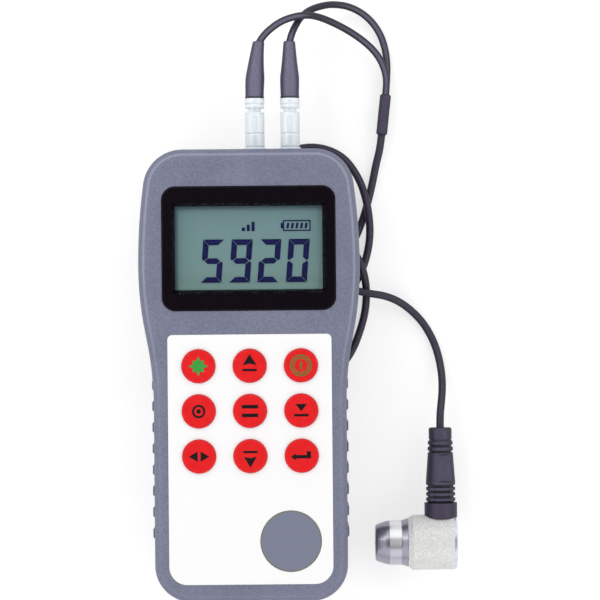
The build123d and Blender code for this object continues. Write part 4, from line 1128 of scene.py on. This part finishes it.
INNER_LOOKS = {
    "backlight_white": (tone(226, 226, 220), tone(240, 240, 236), 700.0, 0.5),
    "chip_black": (tone(34, 34, 36), tone(46, 46, 48), 1600.0, 0.6),
    "sounder_black": (tone(30, 30, 32), tone(42, 42, 45), 1300.0, 0.5),
    "switch_black": (tone(38, 38, 40), tone(52, 52, 55), 1500.0, 0.45),
    "barrier_cork": (tone(96, 70, 44), tone(140, 104, 68), 1500.0, 0.8),
    "delay_resin": (tone(150, 112, 70), tone(178, 138, 92), 500.0, 0.3),
    "crystal_ceramic": (tone(208, 200, 178), tone(222, 216, 198), 1500.0, 0.6),
    "damping_resin": (tone(60, 60, 62), tone(84, 84, 86), 900.0, 0.6),
}
inner_finishes = [speckled(name, *look) for name, look in INNER_LOOKS.items()]

# %% [markdown]
# ## Dressing every node
# The record names a material slot for each node, and a finish above bears the name of its slot, so
# one table from slot to finish dresses the solids. Some pieces differ: each key has its own copy of
# the red, the probe's cap is brighter than the body it closes, and the ribbed boot is darker than
# the plugs' boots.

# %% Finishes onto the solids
outer_finishes = [case_finish, door_finish, bezel_finish, window_finish, lcd_finish, figure_finish]
outer_finishes += [fascia_finish, disc_finish, boot_finish, lead_finish, sleeve_finish]
metal_finishes = [nickel_finish, screw_finish, spring_finish, gold_finish, body_finish, nose_finish]
other_finishes = [gland_finish, board_finish, cell_finish] + inner_finishes
finish_of_slot = {finish.name: finish for finish in outer_finishes + metal_finishes + other_finishes}


def dress(piece, finish):
    """Puts one finish on a piece, whatever slots it has."""
    if not piece.material_slots:
        piece.data.materials.append(finish.material)
    for slot in piece.material_slots:
        slot.material = finish.material


for entry in frame["record"]["subparts"]:
    name = entry["node"]
    if name in key_caps:
        finish = key_finish(name, key_middles[name])
        dress(nodes[name], finish)
        dress(key_caps[name], finish)
    else:
        dress(nodes[name], finish_of_slot[entry["material_slot"]])
dress(nodes["probe_cap"], cap_finish)
for ring in film_rings:
    dress(ring, fascia_finish)
for cord_piece in (left_branch, right_branch, probe_lead):
    dress(cord_piece, lead_finish)
for side in ("left", "right"):
    dress(shells[side], nickel_finish)
    dress(rings[side], nickel_finish)
    dress(boots[side], boot_finish)
dress(ribbed_boot, probe_boot_finish)
dress(ground_nose, nose_finish)
print("finishes:", len(bpy.data.materials))

# %% [markdown]
# ## Where the cords end
# The branches end in the sleeve, and the single lead goes back into the probe.

# %% [markdown]
# ## Floor and light
# The photograph stands on pure white. The floor is white to the camera and to reflections, and
# still takes the gauge's soft shadow. The light is an even white sky, dimmer towards the horizon
# so that metal has something to show, and dark straight overhead, where a photographer and the
# camera stand, so that flat glass and black plastic mirror nothing. One large soft lamp from the
# upper left gives the light a side.

# %% Floor
FLOOR_HALF = 1.5
FLOOR_Z = -2e-5
FLOOR_GLOW = 0.62

floor_mesh = bpy.data.meshes.new("floor")
corners = [(x, y, FLOOR_Z) for x, y in bar(-FLOOR_HALF, -FLOOR_HALF, FLOOR_HALF, FLOOR_HALF)]
floor_mesh.from_pydata(corners, [], [(0, 1, 2, 3)])
floor = placed("floor", floor_mesh)

floor_finish = Finish("floor_white", Base_Color=(0.5, 0.5, 0.5, 1.0), Roughness=0.9)
seen = floor_finish.node("ShaderNodeLightPath", output="Is Camera Ray")
mirrored = floor_finish.node("ShaderNodeLightPath", output="Is Glossy Ray")
through = floor_finish.node("ShaderNodeLightPath", output="Is Transmission Ray")
white_seen = seen.sum("MAXIMUM", seen.sum("MAXIMUM", seen, mirrored), through)
matt = Wire(floor_finish, floor_finish.shader.outputs[0])
glow = floor_finish.node("ShaderNodeEmission", None, {"Color": (1.0, 1.0, 1.0, 1.0), "Strength": FLOOR_GLOW})
glowing = floor_finish.node("ShaderNodeAddShader", None, [matt, glow])
chosen = floor_finish.node("ShaderNodeMixShader", None, [white_seen, matt, glowing])
floor_finish.feed(floor_finish.tree.nodes["Material Output"].inputs[0], chosen)
floor.data.materials.append(floor_finish.material)


# %% Sky
class Sky(Finish):
    """The light from all round, made of nodes as a finish is."""

    def __init__(self, name):
        world = bpy.data.worlds.new(name)
        world.use_nodes = True
        self.tree = world.node_tree
        self.shader = self.tree.nodes["Background"]
        bpy.context.scene.world = world


SKY_LEVELS = ((0.0, 0.5), (0.45, 1.0), (0.82, 1.0), (0.93, 0.1))
SKY_STRENGTH = 1.3

sky = Sky("sky")
direction = sky.node("ShaderNodeTexCoord", output=0)
height = sky.node("ShaderNodeSeparateXYZ", None, [direction], output=2)
stops = [(place, (level, level, level * 1.01, 1.0)) for place, level in SKY_LEVELS]
sky.give("Color", sky.node("ShaderNodeValToRGB", {"stops": stops}, [height]))
sky.give("Strength", SKY_STRENGTH)

# %% Lamp
LAMP_PLACE = (-0.55, 0.55, 0.9)
LAMP_TARGET = (0.0, 0.06, 0.01)

lamp_data = bpy.data.lights.new("lamp_left", "AREA")
lamp_data.size = 0.5
lamp_data.energy = 4.5
lamp = placed("lamp_left", lamp_data)
lamp.location = LAMP_PLACE
aim = np.array(LAMP_TARGET) - np.array(LAMP_PLACE)
pitch = math.atan2(math.hypot(aim[0], aim[1]), -aim[2])
lamp.rotation_euler = (0.0, -pitch, math.atan2(aim[1], aim[0]) + math.pi)
print("lamp to target:", round(float(np.linalg.norm(aim)), 2), "m")
